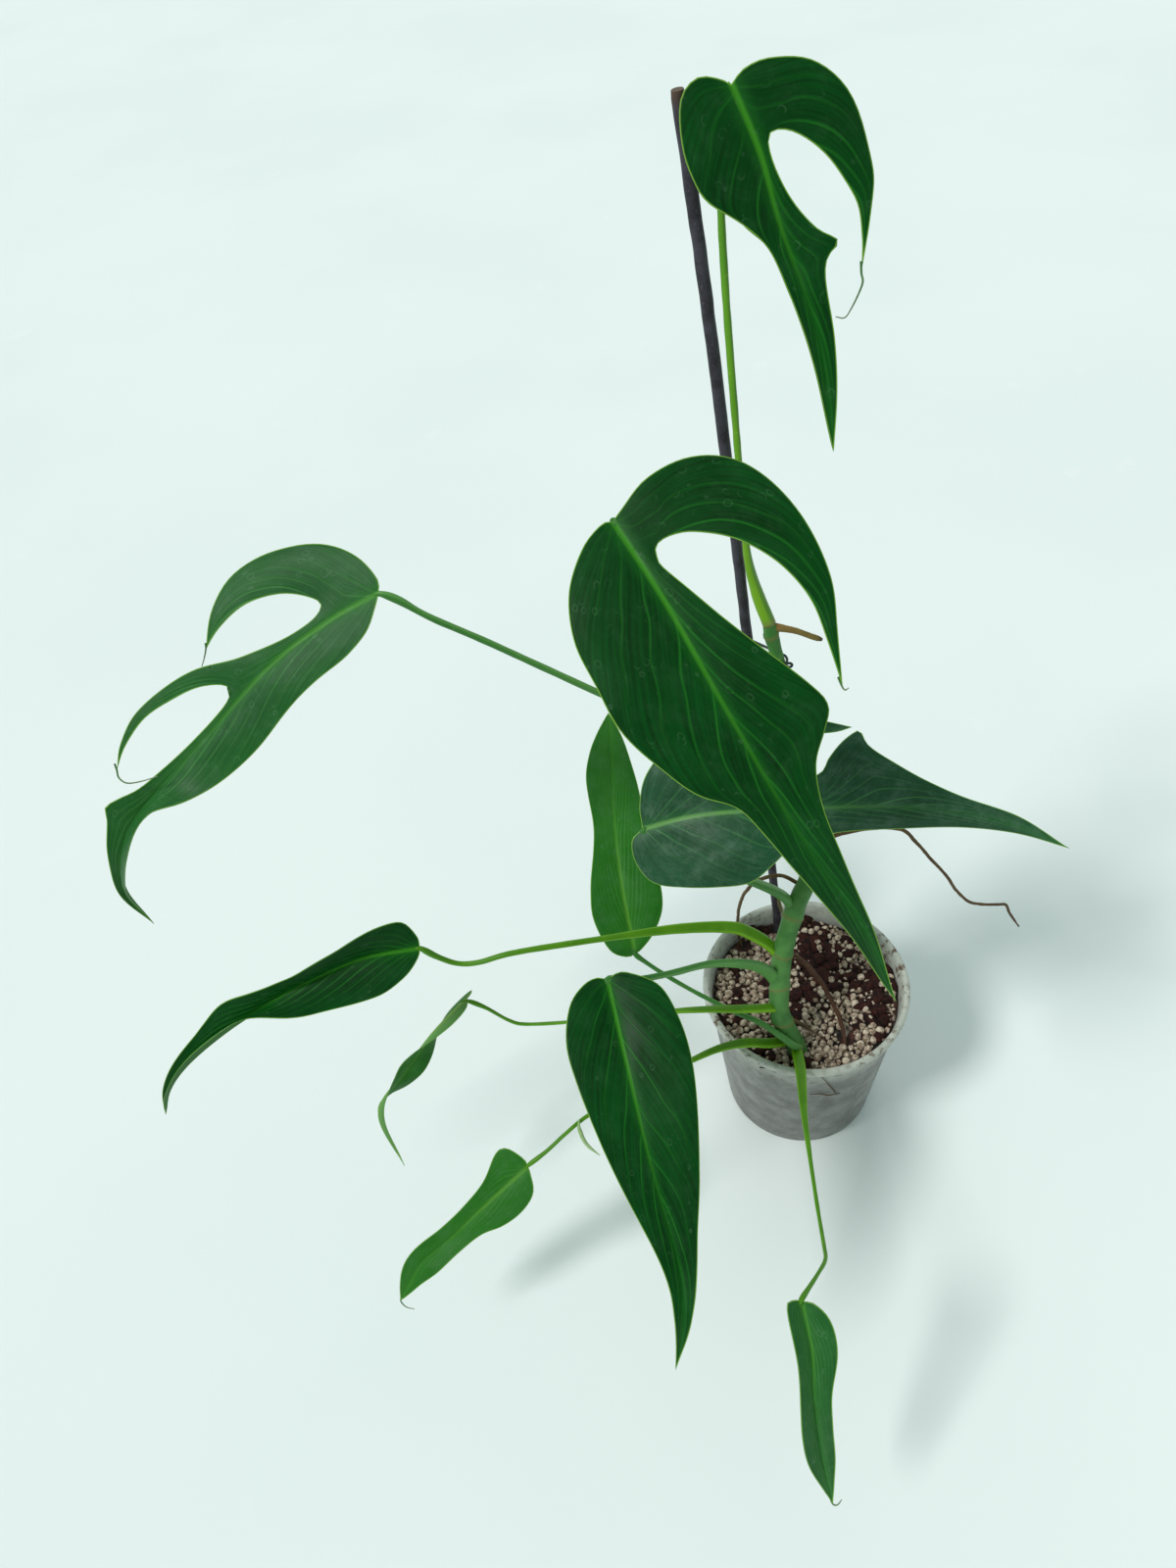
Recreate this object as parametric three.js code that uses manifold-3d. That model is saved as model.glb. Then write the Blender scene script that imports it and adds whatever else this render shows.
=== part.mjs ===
// Potted burle marx flame monstera: a young climbing aroid on a stake, in a clear nursery pot.
// Millimetres, +Z up. The origin is the middle of the pot's base. +X is to the right and +Y to the
// back, as the plant is seen from its front.
import * as THREE from 'three';
import { mergeVertices } from 'three/addons/utils/BufferGeometryUtils.js';
import Module from 'manifold-3d';

const wasm = await Module();
wasm.setup();

// Driving sizes
const GAP = 0.3;
const POT = {
  height: 103,
  rimRadius: 55,
  rimDepth: 4.6,
  wallTopRadius: 51.8,
  baseRadius: 41.5,
  wall: 1,
  floor: 1.5,
  holes: 6,
  holeRadius: 3.5,
  holeCircle: 29,
  sides: 40,
};
const SOIL = { top: 93, relief: 1.3, rings: [0.96, 0.82, 0.67, 0.51, 0.35, 0.18], sides: 32 };
const GRAIN = { count: 44, small: 2.1, large: 3.2, sunk: 0.25 };
const CHUNK = { count: 14, length: 9, width: 5.5, height: 4.5, sunk: 0.2 };
const STAKE_RADIUS = 2.3;
const TIE = { radius: 0.6, height: 306.5, eyeRadius: 1.3 };
const BLADE_THICKNESS = 0.8;
const RIB_DEPTH = 1.5;
const RIB_HALF_WIDTH = 2.2;
const COLUMNS = [0, 0.12, 0.45, 0.75, 1];
const SPAN_STEPS = 24;

// Colours, as seen in soft daylight
const COLOUR = {
  pot: 0xc9cbc4,
  soil: 0x6b4a3a,
  stem: 0x5c7d5e,
  stake: 0x3b3238,
  tie: 0x2f3a34,
  petiole: 0x5f9a3c,
  blade: 0x1f5a33,
  youngBlade: 0x3d7d3a,
  root: 0x7a5c3c,
};

// The stem's middle line, from its foot in the soil to the top node, and its radius along it
const STEM = {
  path: [[-8, -30, 62], [-10, -33, 80], [-12, -34, 96], [-20, -28, 120], [-19, -20, 135], [-16, -11, 152],
    [-9, -4, 178], [0, 5, 199], [-2, 17, 239], [-9, 28, 284], [-15, 35, 313], [-17, 37, 323]],
  radius: [[0, 4.6], [0.12, 5], [0.3, 5], [0.45, 4.7], [0.7, 3.7], [0.92, 2.9], [1, 2.9]],
  scars: [0.2, 0.27, 0.34, 0.42, 0.53, 0.69, 0.85, 0.985],
};

// The stake's middle line: a slim stick with a slight bow, from its end in the soil to its cut top
const STAKE = [[-3, 43, 62], [-9.8, 44, 144], [-25.2, 45.3, 316], [-38.4, 46.2, 449], [-47.6, 47, 529]];

// Leaf stalks: the middle line, then rows of place, half width, half height and depth of the channel
const SHEATH = [[0, 3.2, 2.6, 0.4], [0.12, 3, 2.2, 0.9], [0.3, 2, 1.7, 0.5], [0.5, 1.5, 1.5, 0],
  [1, 1.3, 1.3, 0]];
const SLIM_SHEATH = [[0, 2.6, 2.2, 0.3], [0.15, 2.4, 1.8, 0.7], [0.35, 1.3, 1.2, 0.2], [0.5, 1, 1, 0],
  [1, 0.9, 0.9, 0]];
const PETIOLES = {
  top: {
    path: [[-17, 37.2, 324], [-19, 38, 330], [-22, 39, 340], [-25, 40, 353], [-27, 40, 368],
      [-30, 41, 407], [-34, 42, 466], [-35.5, 42.5, 500], [-35, 43, 520], [-32.5, 42.8, 529.5]],
    section: [[0, 2.9, 2.9, 0], [0.05, 3, 2.8, 0], [0.13, 2.5, 2.2, 0.6], [0.2, 1.5, 1.5, 0.2],
      [0.3, 1.4, 1.4, 0], [0.9, 1.25, 1.25, 0], [1, 1.1, 1.1, 0]],
    steps: 18,
  },
  big: {
    path: [[-9, 27, 280], [-14, 25, 290], [-24, 22, 307], [-39, 16, 332], [-54, 9, 359], [-68, 1, 386],
      [-77, -5, 406], [-81.5, -9.2, 417.5]],
    section: SHEATH,
    steps: 14,
  },
  far: {
    path: [[-2, 17, 238], [-9, 17.5, 245], [-30, 20, 261], [-57, 21, 283], [-94, 22, 313],
      [-134, 25, 344], [-155, 27, 359], [-166, 29, 368], [-172.5, 30, 371.5]],
    section: SHEATH,
    steps: 16,
  },
  right: {
    path: [[-9, -2, 170], [-13, -3, 183], [-20, -4, 193], [-29, -5, 202], [-46, -6, 216], [-64, -6, 234],
      [-76, -6, 247], [-80.6, -5.2, 251.4]],
    section: [[0, 3.6, 3.2, 0.4], [0.15, 3.6, 2.8, 0.9], [0.3, 3, 2.2, 0.7], [0.5, 1.8, 1.7, 0],
      [1, 1.4, 1.4, 0]],
    steps: 12,
  },
  left: {
    path: [[-17, -12, 148], [-23, -9, 156], [-32, -8, 166], [-43, -9, 175], [-69, -13, 185],
      [-107, -18, 192], [-146, -22, 196], [-164, -22, 192], [-174, -21, 192], [-182, -21, 199],
      [-188.6, -21, 207.6]],
    section: [[0, 3.2, 2.8, 0.4], [0.1, 3.4, 2.4, 0.9], [0.3, 2.6, 1.8, 0.7], [0.5, 1.6, 1.5, 0],
      [0.85, 1.3, 1.3, 0], [1, 1.2, 1.2, 0]],
    steps: 18,
  },
  front: {
    path: [[-20, -25, 126], [-21, -19, 138], [-29, -21, 154], [-41, -26, 168], [-57, -32, 180],
      [-74, -40, 189], [-90, -47, 198], [-104.5, -51.4, 207.6]],
    section: [[0, 3.4, 3, 0.4], [0.12, 3.5, 2.6, 0.9], [0.35, 3, 2, 0.9], [0.6, 1.7, 1.6, 0],
      [1, 1.4, 1.4, 0]],
    steps: 14,
  },
  bottom: {
    path: [[-12.6, -33, 97], [-13.6, -42, 103], [-15, -54, 109], [-17, -67, 111], [-19, -80, 112],
      [-22, -108, 115], [-24, -130, 117], [-26, -148, 124], [-28, -157, 132], [-34, -166, 141],
      [-44, -178.6, 151.4]],
    section: [[0, 2.6, 2.4, 0.3], [0.16, 3, 1.9, 0.8], [0.36, 2.4, 1.3, 0.5], [0.46, 1, 1, 0],
      [1, 0.9, 0.9, 0]],
    steps: 18,
  },
  low: {
    path: [[-15, -33, 102], [-27, -36, 107], [-40, -38, 114], [-54, -42, 119], [-68, -48, 122],
      [-95, -60, 126], [-122, -72, 126], [-135, -79, 123], [-145, -84, 118], [-154.4, -87.6, 113.6]],
    section: [[0, 2.8, 2.3, 0.3], [0.15, 2.8, 1.8, 0.8], [0.35, 1.6, 1.3, 0.3], [0.5, 1, 1, 0],
      [1, 0.9, 0.9, 0]],
    steps: 16,
  },
  upright: {
    path: [[-18, -29, 112], [-28, -26, 114], [-41, -23, 119], [-61, -17, 133], [-77, -12, 147],
      [-86, -9.6, 157], [-89.8, -8.2, 161.6]],
    section: SLIM_SHEATH.map(([place, w, h, g]) => [place, w * 1.2, h * 1.2, g]),
    steps: 12,
  },
  twisted: {
    path: [[-20, -26, 124], [-30, -29, 130], [-42, -30, 134], [-58, -29, 136], [-74, -27, 135],
      [-103, -23, 131], [-130, -20, 127], [-150, -18, 127], [-158, -17, 131], [-168, -15, 142],
      [-176.4, -13.2, 147.8]],
    section: SLIM_SHEATH,
    steps: 18,
  },
};

// Aerial roots and roots over the soil: the middle line and rows of place and radius
const ROOTS = {
  stub: { path: [[-16, 37, 322.5], [-10, 37, 320.2], [-3, 37, 316.8], [6, 37, 311.5]],
    radius: [[0, 1.7], [0.3, 1.4], [0.9, 1.2], [1, 0.7]], steps: 6 },
  wiry: { path: [[-1, 4, 203], [8, 8, 212], [22, 10, 213], [36, 10, 212], [45, 10, 208], [51, 8, 201],
    [59, 6, 189], [67, 4, 177], [79, 2, 157], [88, 2, 151], [97, 1, 150], [101, 0, 150], [104, -1, 143],
    [110, -2, 132]],
    radius: [[0, 1.2], [0.3, 0.9], [1, 0.7]], steps: 22 },
  arc: { path: [[-5, 2, 186], [-15, 7, 190], [-25, 12, 181], [-30, 19, 163], [-31.5, 27, 138],
    [-30.5, 33, 112], [-28, 36, 90], [-26, 36, 80]],
    radius: [[0, 1.3], [0.4, 1.1], [1, 1]], steps: 14 },
  brown: { path: [[-19, -16, 140], [-8, -9, 131], [-1, -2, 118], [6, 0, 107], [11, -3, 100],
    [14, -12, 98], [16, -22, 96.5], [16, -30, 92], [15, -34, 84]],
    radius: [[0, 1.6], [0.3, 1.7], [0.8, 1.5], [1, 1.2]], steps: 14 },
};

// Leaf blades. `midrib` runs from the stalk to the tip, and `face` says where the upper side looks, by
// place along the blade. `fold` gives, by place, how far each half is raised from flat (left, right, in
// degrees) and how much it rolls on outwards (left, right, in degrees for each 10 mm).
// The outlines are flat, in mm: along the midrib, then out from it. `margin` runs from the base to the
// first tip. A slit's `edge` runs from that tip back to its root by the midrib, which is point number
// `root` of it, and on to the next tip; its `foot` is the place on the midrib beside the root.
const BLADES = {
  top: {
    step: 9,
    midrib: [[-32, 42, 530], [-25, 33, 513], [-20, 25, 494], [-12, 16, 472], [-8, 9, 455], [-5, 0, 427]],
    face: [[0, 0, -0.8, 0.6], [0.5, 0, -0.9, 0.5], [1, 0, -1, 0.3]],
    fold: [[0, 10, 10, -6, -6], [0.5, 10, 10, -4, -4], [1, 25, 25, 0, 0]],
    left: {
      margin: [[0, 0], [-2, 5], [-1, 13], [5, 24], [16, 31], [30, 32], [42, 31], [53, 26], [65, 18]],
      slits: [{ foot: 13, root: 5, edge: [[65, 18], [56, 22], [45, 24], [30, 20], [20, 12], [17, 5],
        [23, 3], [34, 5], [47, 10], [54, 15], [57, 10], [64, 7], [80, 5], [98, 3], [116, 0]] }],
    },
    right: {
      margin: [[0, 0], [-3, 3], [-6, 9], [-3, 16], [8, 21], [18, 22], [28, 20], [38, 11], [47, 6],
        [62, 5], [80, 4], [100, 2], [116, 0]],
      slits: [],
    },
  },
  big: {
    step: 12,
    midrib: [[-82, -10, 418], [-69, -35, 402], [-53, -64, 375], [-31, -88, 332], [-9, -99, 289],
      [6, -104, 245]],
    face: [[0, 0, -0.7, 0.8], [0.5, 0, -0.8, 0.6], [1, 0, -0.95, 0.3]],
    fold: [[0, 8, 8, -3, -4], [0.5, 8, 8, -3, -3], [1, 15, 15, 0, 0]],
    left: {
      margin: [[0, 0], [-2, 5], [-6, 17], [-5, 32], [2, 44], [15, 51], [34, 54], [53, 52], [70, 45],
        [88, 37]],
      slits: [{ foot: 12, root: 6, edge: [[88, 37], [72, 40], [56, 42], [41, 39], [28, 31], [19, 21],
        [16, 9], [22, 6], [42, 12], [57, 18], [81, 28], [91, 30], [98, 25], [107, 17], [121, 12],
        [140, 9], [165, 5], [195, 2], [226, 0]] }],
    },
    right: {
      margin: [[0, 0], [-1, 4], [3, 14], [14, 26], [30, 33], [48, 34], [64, 34], [80, 29], [94, 23],
        [105, 14], [116, 11], [140, 8], [170, 6], [205, 3], [226, 0]],
      slits: [],
    },
  },
  far: {
    step: 11,
    midrib: [[-173, 30, 372], [-195, 28, 363], [-221, 20, 351], [-253, 8, 328], [-276, 0, 312],
      [-289, -8, 303], [-298, -14, 290], [-303, -16, 270], [-300, -16, 245]],
    face: [[0, 0, -0.6, 0.8], [0.5, 0, -0.7, 0.7], [0.72, -0.3, -0.9, 0.4], [1, 0, -1, 0.1]],
    fold: [[0, 6, 6, -3, -4], [0.5, 6, 6, -2, -3], [0.58, 25, 10, 0, -3], [0.64, 66, 15, 0, -2],
      [0.74, 52, 20, 0, -2], [1, 50, 40, 0, 0]],
    left: {
      margin: [[0, 0], [3, 4], [11, 12], [24, 16], [42, 17], [62, 18], [82, 19], [102, 17], [118, 14],
        [132, 12], [150, 13], [162, 12], [175, 8], [188, 3], [205, 0]],
      slits: [],
    },
    right: {
      margin: [[0, 0], [-2, 5], [2, 17], [13, 28], [28, 36], [43, 38], [55, 33], [67, 23]],
      slits: [
        { foot: 18, root: 5, edge: [[67, 23], [58, 25], [46, 25], [34, 20], [26, 13], [23, 7], [30, 4],
          [44, 5], [60, 11], [76, 21], [92, 26], [108, 27], [120, 23], [129, 17]] },
        { foot: 68, root: 5, edge: [[129, 17], [119, 21], [106, 23], [92, 20], [80, 15], [72, 7],
          [77, 3], [98, 3], [116, 4], [130, 6], [138, 10], [142, 12], [146, 9], [153, 6.5], [166, 4],
          [182, 3], [205, 0]] },
      ],
    },
  },
  right: {
    step: 11,
    midrib: [[-81, -5, 252], [-56, -10, 262], [-20, -14, 263], [34, -16, 256], [78, -20, 242],
      [107, -28, 227]],
    face: [[0, 0, -0.7, 0.7], [0.5, 0, -0.6, 0.8], [1, 0, -0.6, 0.8]],
    fold: [[0, 8, 8, -3, -4], [0.3, 8, 5, -3, -4], [0.5, 10, -20, -3, -8], [1, 10, -30, 0, 0]],
    left: {
      margin: [[0, 0], [1, 3], [3, 11], [11, 23], [28, 36], [48, 42], [68, 41], [84, 37.5], [95, 34.6]],
      slits: [{ foot: 36, root: 4, edge: [[95, 34.6], [88, 32.6], [72, 31], [54, 25], [43, 14], [50, 9],
        [66, 11], [80, 15], [84, 21], [88.5, 26.5], [93, 30.5], [98, 33], [101, 27], [109, 21],
        [124, 13], [144, 7], [170, 4], [198, 0]] }],
    },
    right: {
      margin: [[0, 0], [-2, 1], [-6, 4], [-7, 13], [-2, 24], [12, 30], [32, 32], [48, 31], [58, 24],
        [68, 16], [84, 12], [117, 10], [144, 7], [170, 4], [198, 0]],
      slits: [],
    },
  },
  upright: {
    step: 10,
    midrib: [[-90, -8, 162], [-92, 20, 185], [-91, 55, 197], [-88, 85, 202], [-86, 118, 208]],
    face: [[0, 0, -0.5, 0.9], [1, 0, -0.5, 0.9]],
    fold: [[0, 10, 10, -4, -4], [1, 10, 10, -4, -4]],
    left: {
      margin: [[0, 0], [-1, 4], [4, 12], [20, 17], [34, 16], [54, 12], [70, 11], [94, 14], [110, 12],
        [124, 7], [138, 0]],
      slits: [],
    },
    right: {
      margin: [[0, 0], [1, 3], [8, 11], [20, 18], [36, 19], [60, 16], [84, 14], [104, 10], [122, 6],
        [138, 0]],
      slits: [],
    },
  },
  left: {
    step: 10,
    midrib: [[-189, -21, 208], [-215, -24, 210], [-243, -30, 205], [-266, -37, 199], [-285, -43, 191],
      [-303, -49, 180], [-315, -53, 167], [-323, -55, 149]],
    face: [[0, 0.15, -0.65, 0.75], [0.2, 0.15, -0.9, 0.35], [0.36, 0.2, -0.95, 0.3],
      [0.46, 0, -0.65, 0.75], [0.56, -0.4, 0, 0.9], [0.7, -0.5, -0.05, 0.85], [1, -0.65, -0.65, 0.35]],
    fold: [[0, 10, 10, 0, 0], [0.2, 30, 35, 0, 0], [0.36, 30, 35, 0, 0], [0.46, 40, 40, 0, 0],
      [0.56, 55, 55, 0, 0], [0.8, 60, 60, 0, 0], [1, 50, 50, 0, 0]],
    left: {
      margin: [[0, 0], [1, 4], [8, 12], [20, 18], [36, 18], [56, 14], [80, 13], [104, 12], [130, 7],
        [150, 3], [162, 0]],
      slits: [],
    },
    right: {
      margin: [[0, 0], [0, 5], [5, 13], [12, 16], [28, 17], [54, 15], [78, 13], [104, 9], [130, 5],
        [150, 2], [162, 0]],
      slits: [],
    },
  },
  front: {
    step: 11,
    midrib: [[-105, -52, 208], [-101, -90, 192], [-97, -122, 171], [-91, -154, 142], [-92, -172, 129],
      [-98, -185, 105]],
    face: [[0, 0, -0.3, 0.9], [0.5, 0, -0.5, 0.9], [1, 0, -0.8, 0.6]],
    fold: [[0, 15, 15, -6, -6], [0.6, 15, 15, -5, -5], [1, 35, 35, 0, 0]],
    left: {
      margin: [[0, 0], [-2, 4], [-1, 10], [8, 22], [24, 27], [42, 28], [64, 25], [90, 19], [115, 11],
        [140, 5], [160, 2], [174, 0]],
      slits: [],
    },
    right: {
      margin: [[0, 0], [-2, 4], [0, 11], [8, 19], [24, 24], [42, 23], [66, 19], [90, 14], [115, 9],
        [140, 5], [160, 2], [174, 0]],
      slits: [],
    },
  },
  low: {
    step: 9,
    midrib: [[-155, -88, 113], [-178, -98, 99], [-197, -106, 86], [-214, -114, 78], [-227, -124, 62]],
    face: [[0, 0, -0.5, 0.9], [1, 0, -0.5, 0.9]],
    fold: [[0, 10, 10, -8, -8], [1, 20, 20, -5, -5]],
    left: {
      margin: [[0, 0], [1, 3], [6, 11], [16, 14], [28, 13], [40, 9], [54, 8], [70, 9], [84, 5], [97, 0]],
      slits: [],
    },
    right: {
      margin: [[0, 0], [-1, 4], [2, 13], [8, 15], [22, 9], [38, 7], [56, 7], [76, 7], [88, 4], [97, 0]],
      slits: [],
    },
  },
  bottom: {
    step: 9,
    midrib: [[-44, -179, 151], [-42, -193, 132], [-43, -206, 112], [-42, -220, 86], [-39, -234, 64]],
    face: [[0, 0, -0.6, 0.6], [1, 0, -0.8, 0.5]],
    fold: [[0, 25, 25, -4, -4], [1, 30, 30, -4, -4]],
    left: {
      margin: [[0, 0], [1, 5], [8, 10], [20, 11], [40, 8], [60, 7], [78, 6], [92, 3], [103, 0]],
      slits: [],
    },
    right: {
      margin: [[0, 0], [-2, 3], [-1, 7], [16, 8], [40, 7], [62, 8], [78, 7], [93, 3], [103, 0]],
      slits: [],
    },
  },
  twisted: {
    step: 7,
    midrib: [[-177, -13, 148], [-196, -26, 140], [-213, -38, 127], [-228, -50, 113], [-222, -63, 80]],
    face: [[0, 0.5, -0.2, -0.85], [0.13, 0.5, -0.3, -0.8], [0.23, 0.65, -0.55, -0.5],
      [0.31, 0.6, -0.8, -0.05], [0.4, 0.4, -0.85, 0.25], [0.5, 0.6, -0.8, -0.05],
      [0.57, 0.75, -0.5, -0.45], [0.66, 0.85, 0.3, -0.4], [0.9, 0.7, 0.7, -0.1], [1, 0.7, 0.7, -0.15]],
    fold: [[0, 10, 10, 0, 0], [1, 10, 10, 0, 0]],
    left: {
      margin: [[0, 0], [-4, 2], [-5, 5], [0, 7], [9, 9], [22, 9], [40, 9], [58, 7], [75, 5], [92, 2],
        [109, 0]],
      slits: [],
    },
    right: {
      margin: [[0, 0], [1, 3], [6, 5], [16, 6], [38, 7], [58, 6], [75, 4.5], [92, 2], [109, 0]],
      slits: [],
    },
  },
};
const YOUNG = ['upright', 'low', 'bottom', 'twisted'];

// Small helpers

const vector = ([x, y, z = 0]) => new THREE.Vector3(x, y, z);

// A fixed series of numbers from 0 to 1, the same on each run
function seeded(seed) {
  let state = seed;
  return () => {
    state = (state * 16807) % 2147483647;
    return state / 2147483647;
  };
}

// The values of a table of rows, each a place and its values, at a place between them
function between(rows, place) {
  const last = rows.length - 1;
  let next = rows.findIndex((row) => row[0] >= place);
  if (next === -1) next = last;
  if (next === 0) next = 1;
  const a = rows[next - 1];
  const b = rows[next];
  const share = THREE.MathUtils.clamp((place - a[0]) / (b[0] - a[0]), 0, 1);
  return a.slice(1).map((value, i) => THREE.MathUtils.lerp(value, b[i + 1], share));
}

// A smooth line through points, with SPAN_STEPS steps from each point to the next
function smooth(points, closed = false) {
  const curve = new THREE.CatmullRomCurve3(points.map(vector), closed, 'catmullrom', 0.5);
  return curve.getPoints((points.length - (closed ? 0 : 1)) * SPAN_STEPS);
}

function lengths(line) {
  const sums = [0];
  for (let i = 1; i < line.length; i += 1) sums.push(sums[i - 1] + line[i].distanceTo(line[i - 1]));
  return sums;
}

// The point of a line at a distance along it
function pointAlong(line, sums, distance) {
  let i = sums.findIndex((sum) => sum >= distance);
  if (i === -1) i = sums.length - 1;
  if (i === 0) i = 1;
  const share = (distance - sums[i - 1]) / (sums[i] - sums[i - 1]);
  return line[i - 1].clone().lerp(line[i], THREE.MathUtils.clamp(share, 0, 1));
}

function resample(line, fractions) {
  const sums = lengths(line);
  const total = sums[sums.length - 1];
  return fractions.map((fraction) => pointAlong(line, sums, fraction * total));
}

const evenly = (count) => Array.from({ length: count + 1 }, (_, i) => i / count);

function indexed(positions, triangles) {
  const geometry = new THREE.BufferGeometry();
  const numbers = positions.flatMap((point) => point.toArray());
  geometry.setAttribute('position', new THREE.Float32BufferAttribute(numbers, 3));
  geometry.setIndex(triangles.flat());
  return geometry;
}

// Joins and cuts

function solid(geometry) {
  const bare = geometry.clone();
  bare.deleteAttribute('normal');
  bare.deleteAttribute('uv');
  const merged = mergeVertices(bare, 1e-4);
  return new wasm.Manifold(new wasm.Mesh({
    numProp: 3,
    vertProperties: new Float32Array(merged.attributes.position.array),
    triVerts: new Uint32Array(merged.index.array),
  }));
}

function geometryOf(body) {
  const mesh = body.getMesh();
  const geometry = new THREE.BufferGeometry();
  geometry.setAttribute('position', new THREE.Float32BufferAttribute(Array.from(mesh.vertProperties), 3));
  geometry.setIndex(Array.from(mesh.triVerts));
  return geometry;
}

// The largest piece of a body that a cut has left in several
function largest(body) {
  const pieces = body.decompose();
  return pieces.reduce((best, piece) => (piece.volume() > best.volume() ? piece : best));
}

function cut(body, tools) {
  return largest(tools.reduce((rest, tool) => rest.subtract(tool), body));
}

// A closed tube along a line, with an end cap at each end, or with none round a ring. The section is
// given at each station and goes with the line without twisting; a channel presses its upper side in.
function tube(path, section, { sides = 8, steps = 12, grow = 0, up = [0, 0, 1], ring = false } = {}) {
  const centres = resample(smooth(path, ring), evenly(steps));
  const nextTo = (i) => (ring ? (i + steps) % steps : THREE.MathUtils.clamp(i, 0, steps));
  if (ring) centres.pop();
  const tangents = centres.map((_, i) => (
    centres[nextTo(i + 1)].clone().sub(centres[nextTo(i - 1)]).normalize()
  ));
  if (!ring) {
    centres[0].addScaledVector(tangents[0], -grow);
    centres[steps].addScaledVector(tangents[steps], grow);
  }
  const points = [];
  const top = vector(up);
  centres.forEach((centre, i) => {
    top.addScaledVector(tangents[i], -top.dot(tangents[i])).normalize();
    const side = top.clone().cross(tangents[i]);
    const [width, height, channel = 0] = between(section, i / steps);
    for (let k = 0; k < sides; k += 1) {
      const angle = (k / sides) * 2 * Math.PI;
      const across = Math.cos(angle) * (width + grow);
      const high = Math.sin(angle) * (height + grow) - channel * Math.max(0, Math.sin(angle)) ** 3;
      points.push(centre.clone().addScaledVector(side, across).addScaledVector(top, high));
    }
  });
  const triangles = [];
  for (let i = 0; i < steps; i += 1) {
    for (let k = 0; k < sides; k += 1) {
      const [row, nextRow] = [i * sides, nextTo(i + 1) * sides];
      const next = (k + 1) % sides;
      triangles.push([row + k, row + next, nextRow + next], [row + k, nextRow + next, nextRow + k]);
    }
  }
  if (ring) return indexed(points, triangles);
  const first = points.push(centres[0]) - 1;
  const last = points.push(centres[steps]) - 1;
  for (let k = 0; k < sides; k += 1) {
    const next = (k + 1) % sides;
    triangles.push([first, next, k], [last, steps * sides + k, steps * sides + next]);
  }
  return indexed(points, triangles);
}

const round = (rows) => rows.map(([place, radius]) => [place, radius, radius]);

// The curved sheet of a blade: where a point of its flat outline lies
class Sheet {
  constructor({ midrib, face, fold }) {
    this.line = smooth(midrib);
    this.sums = lengths(this.line);
    this.length = this.sums[this.sums.length - 1];
    this.face = face.map(([place, ...direction]) => [place, ...vector(direction).normalize().toArray()]);
    this.fold = fold;
  }

  tangent(distance) {
    const reach = 1.5;
    const ahead = pointAlong(this.line, this.sums, Math.min(distance + reach, this.length));
    return ahead.sub(pointAlong(this.line, this.sums, Math.max(distance - reach, 0))).normalize();
  }

  place(along, out) {
    const distance = THREE.MathUtils.clamp(along, 0, this.length);
    const share = distance / this.length;
    const forward = this.tangent(distance);
    const upper = vector(between(this.face, share));
    upper.addScaledVector(forward, -upper.dot(forward)).normalize();
    const left = upper.clone().cross(forward);
    const [foldLeft, foldRight, rollLeft, rollRight] = between(this.fold, share);
    const angle = THREE.MathUtils.degToRad(out > 0 ? foldLeft : foldRight);
    const roll = THREE.MathUtils.degToRad(out > 0 ? rollLeft : rollRight) / 10 || 1e-5;
    const reach = Math.abs(out);
    const across = (Math.sin(angle + roll * reach) - Math.sin(angle)) / roll;
    const high = (Math.cos(angle) - Math.cos(angle + roll * reach)) / roll;
    return pointAlong(this.line, this.sums, distance)
      .addScaledVector(forward, along - distance)
      .addScaledVector(left, Math.sign(out) * across)
      .addScaledVector(upper, high);
  }
}

// The places of the cross rows on the midrib, shared by both halves: even between slit feet
function rowsAlong({ left, right, step }, length) {
  const slitFeet = [...left.slits, ...right.slits].map((slit) => slit.foot).sort((a, b) => a - b);
  const feet = [0, ...slitFeet, length];
  return feet.slice(1).reduce((rows, foot, i) => {
    const count = Math.max(1, Math.round((foot - feet[i]) / step));
    return [...rows, ...evenly(count).slice(1).map((share) => THREE.MathUtils.lerp(feet[i], foot, share))];
  }, [0]);
}

// One half of a blade as panels. Each lies between an inner and an outer rail that share both ends:
// from the midrib to a lobe's tip, and for the last panel to the leaf's tip.
function panels({ margin, slits }, rows, length, step) {
  const edges = [margin, ...slits.map((slit) => slit.edge)].map((edge) => smooth(edge));
  const feet = [0, ...slits.map((slit) => slit.foot), length];
  const webSteps = 2;
  let web = null;
  return edges.map((edge, k) => {
    const stations = rows.filter((along) => along >= feet[k] && along <= feet[k + 1]);
    const inner = stations.map((along) => new THREE.Vector3(along, 0, 0));
    const outline = k === 0 ? edge : edge.slice(slits[k - 1].root * SPAN_STEPS);
    let nextWeb = null;
    if (k < slits.length) {
      const back = edges[k + 1].slice(0, slits[k].root * SPAN_STEPS + 1).reverse();
      const foot = inner[inner.length - 1];
      nextWeb = evenly(webSteps).map((share) => foot.clone().lerp(back[0], share));
      const total = lengths(back).pop();
      const along = resample(back, evenly(Math.max(4, Math.round(total / step))));
      inner.push(...nextWeb.slice(1), ...along.slice(1));
    }
    const rest = inner.length - 1 - (web ? webSteps : 0);
    const shares = slits.length === 0 ? stations.map((along) => along / length) : evenly(rest);
    const outer = resample(outline, shares);
    if (web) outer.splice(0, 1, ...web);
    outer[outer.length - 1] = inner[inner.length - 1];
    web = nextWeb;
    return [inner, outer];
  });
}

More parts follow.
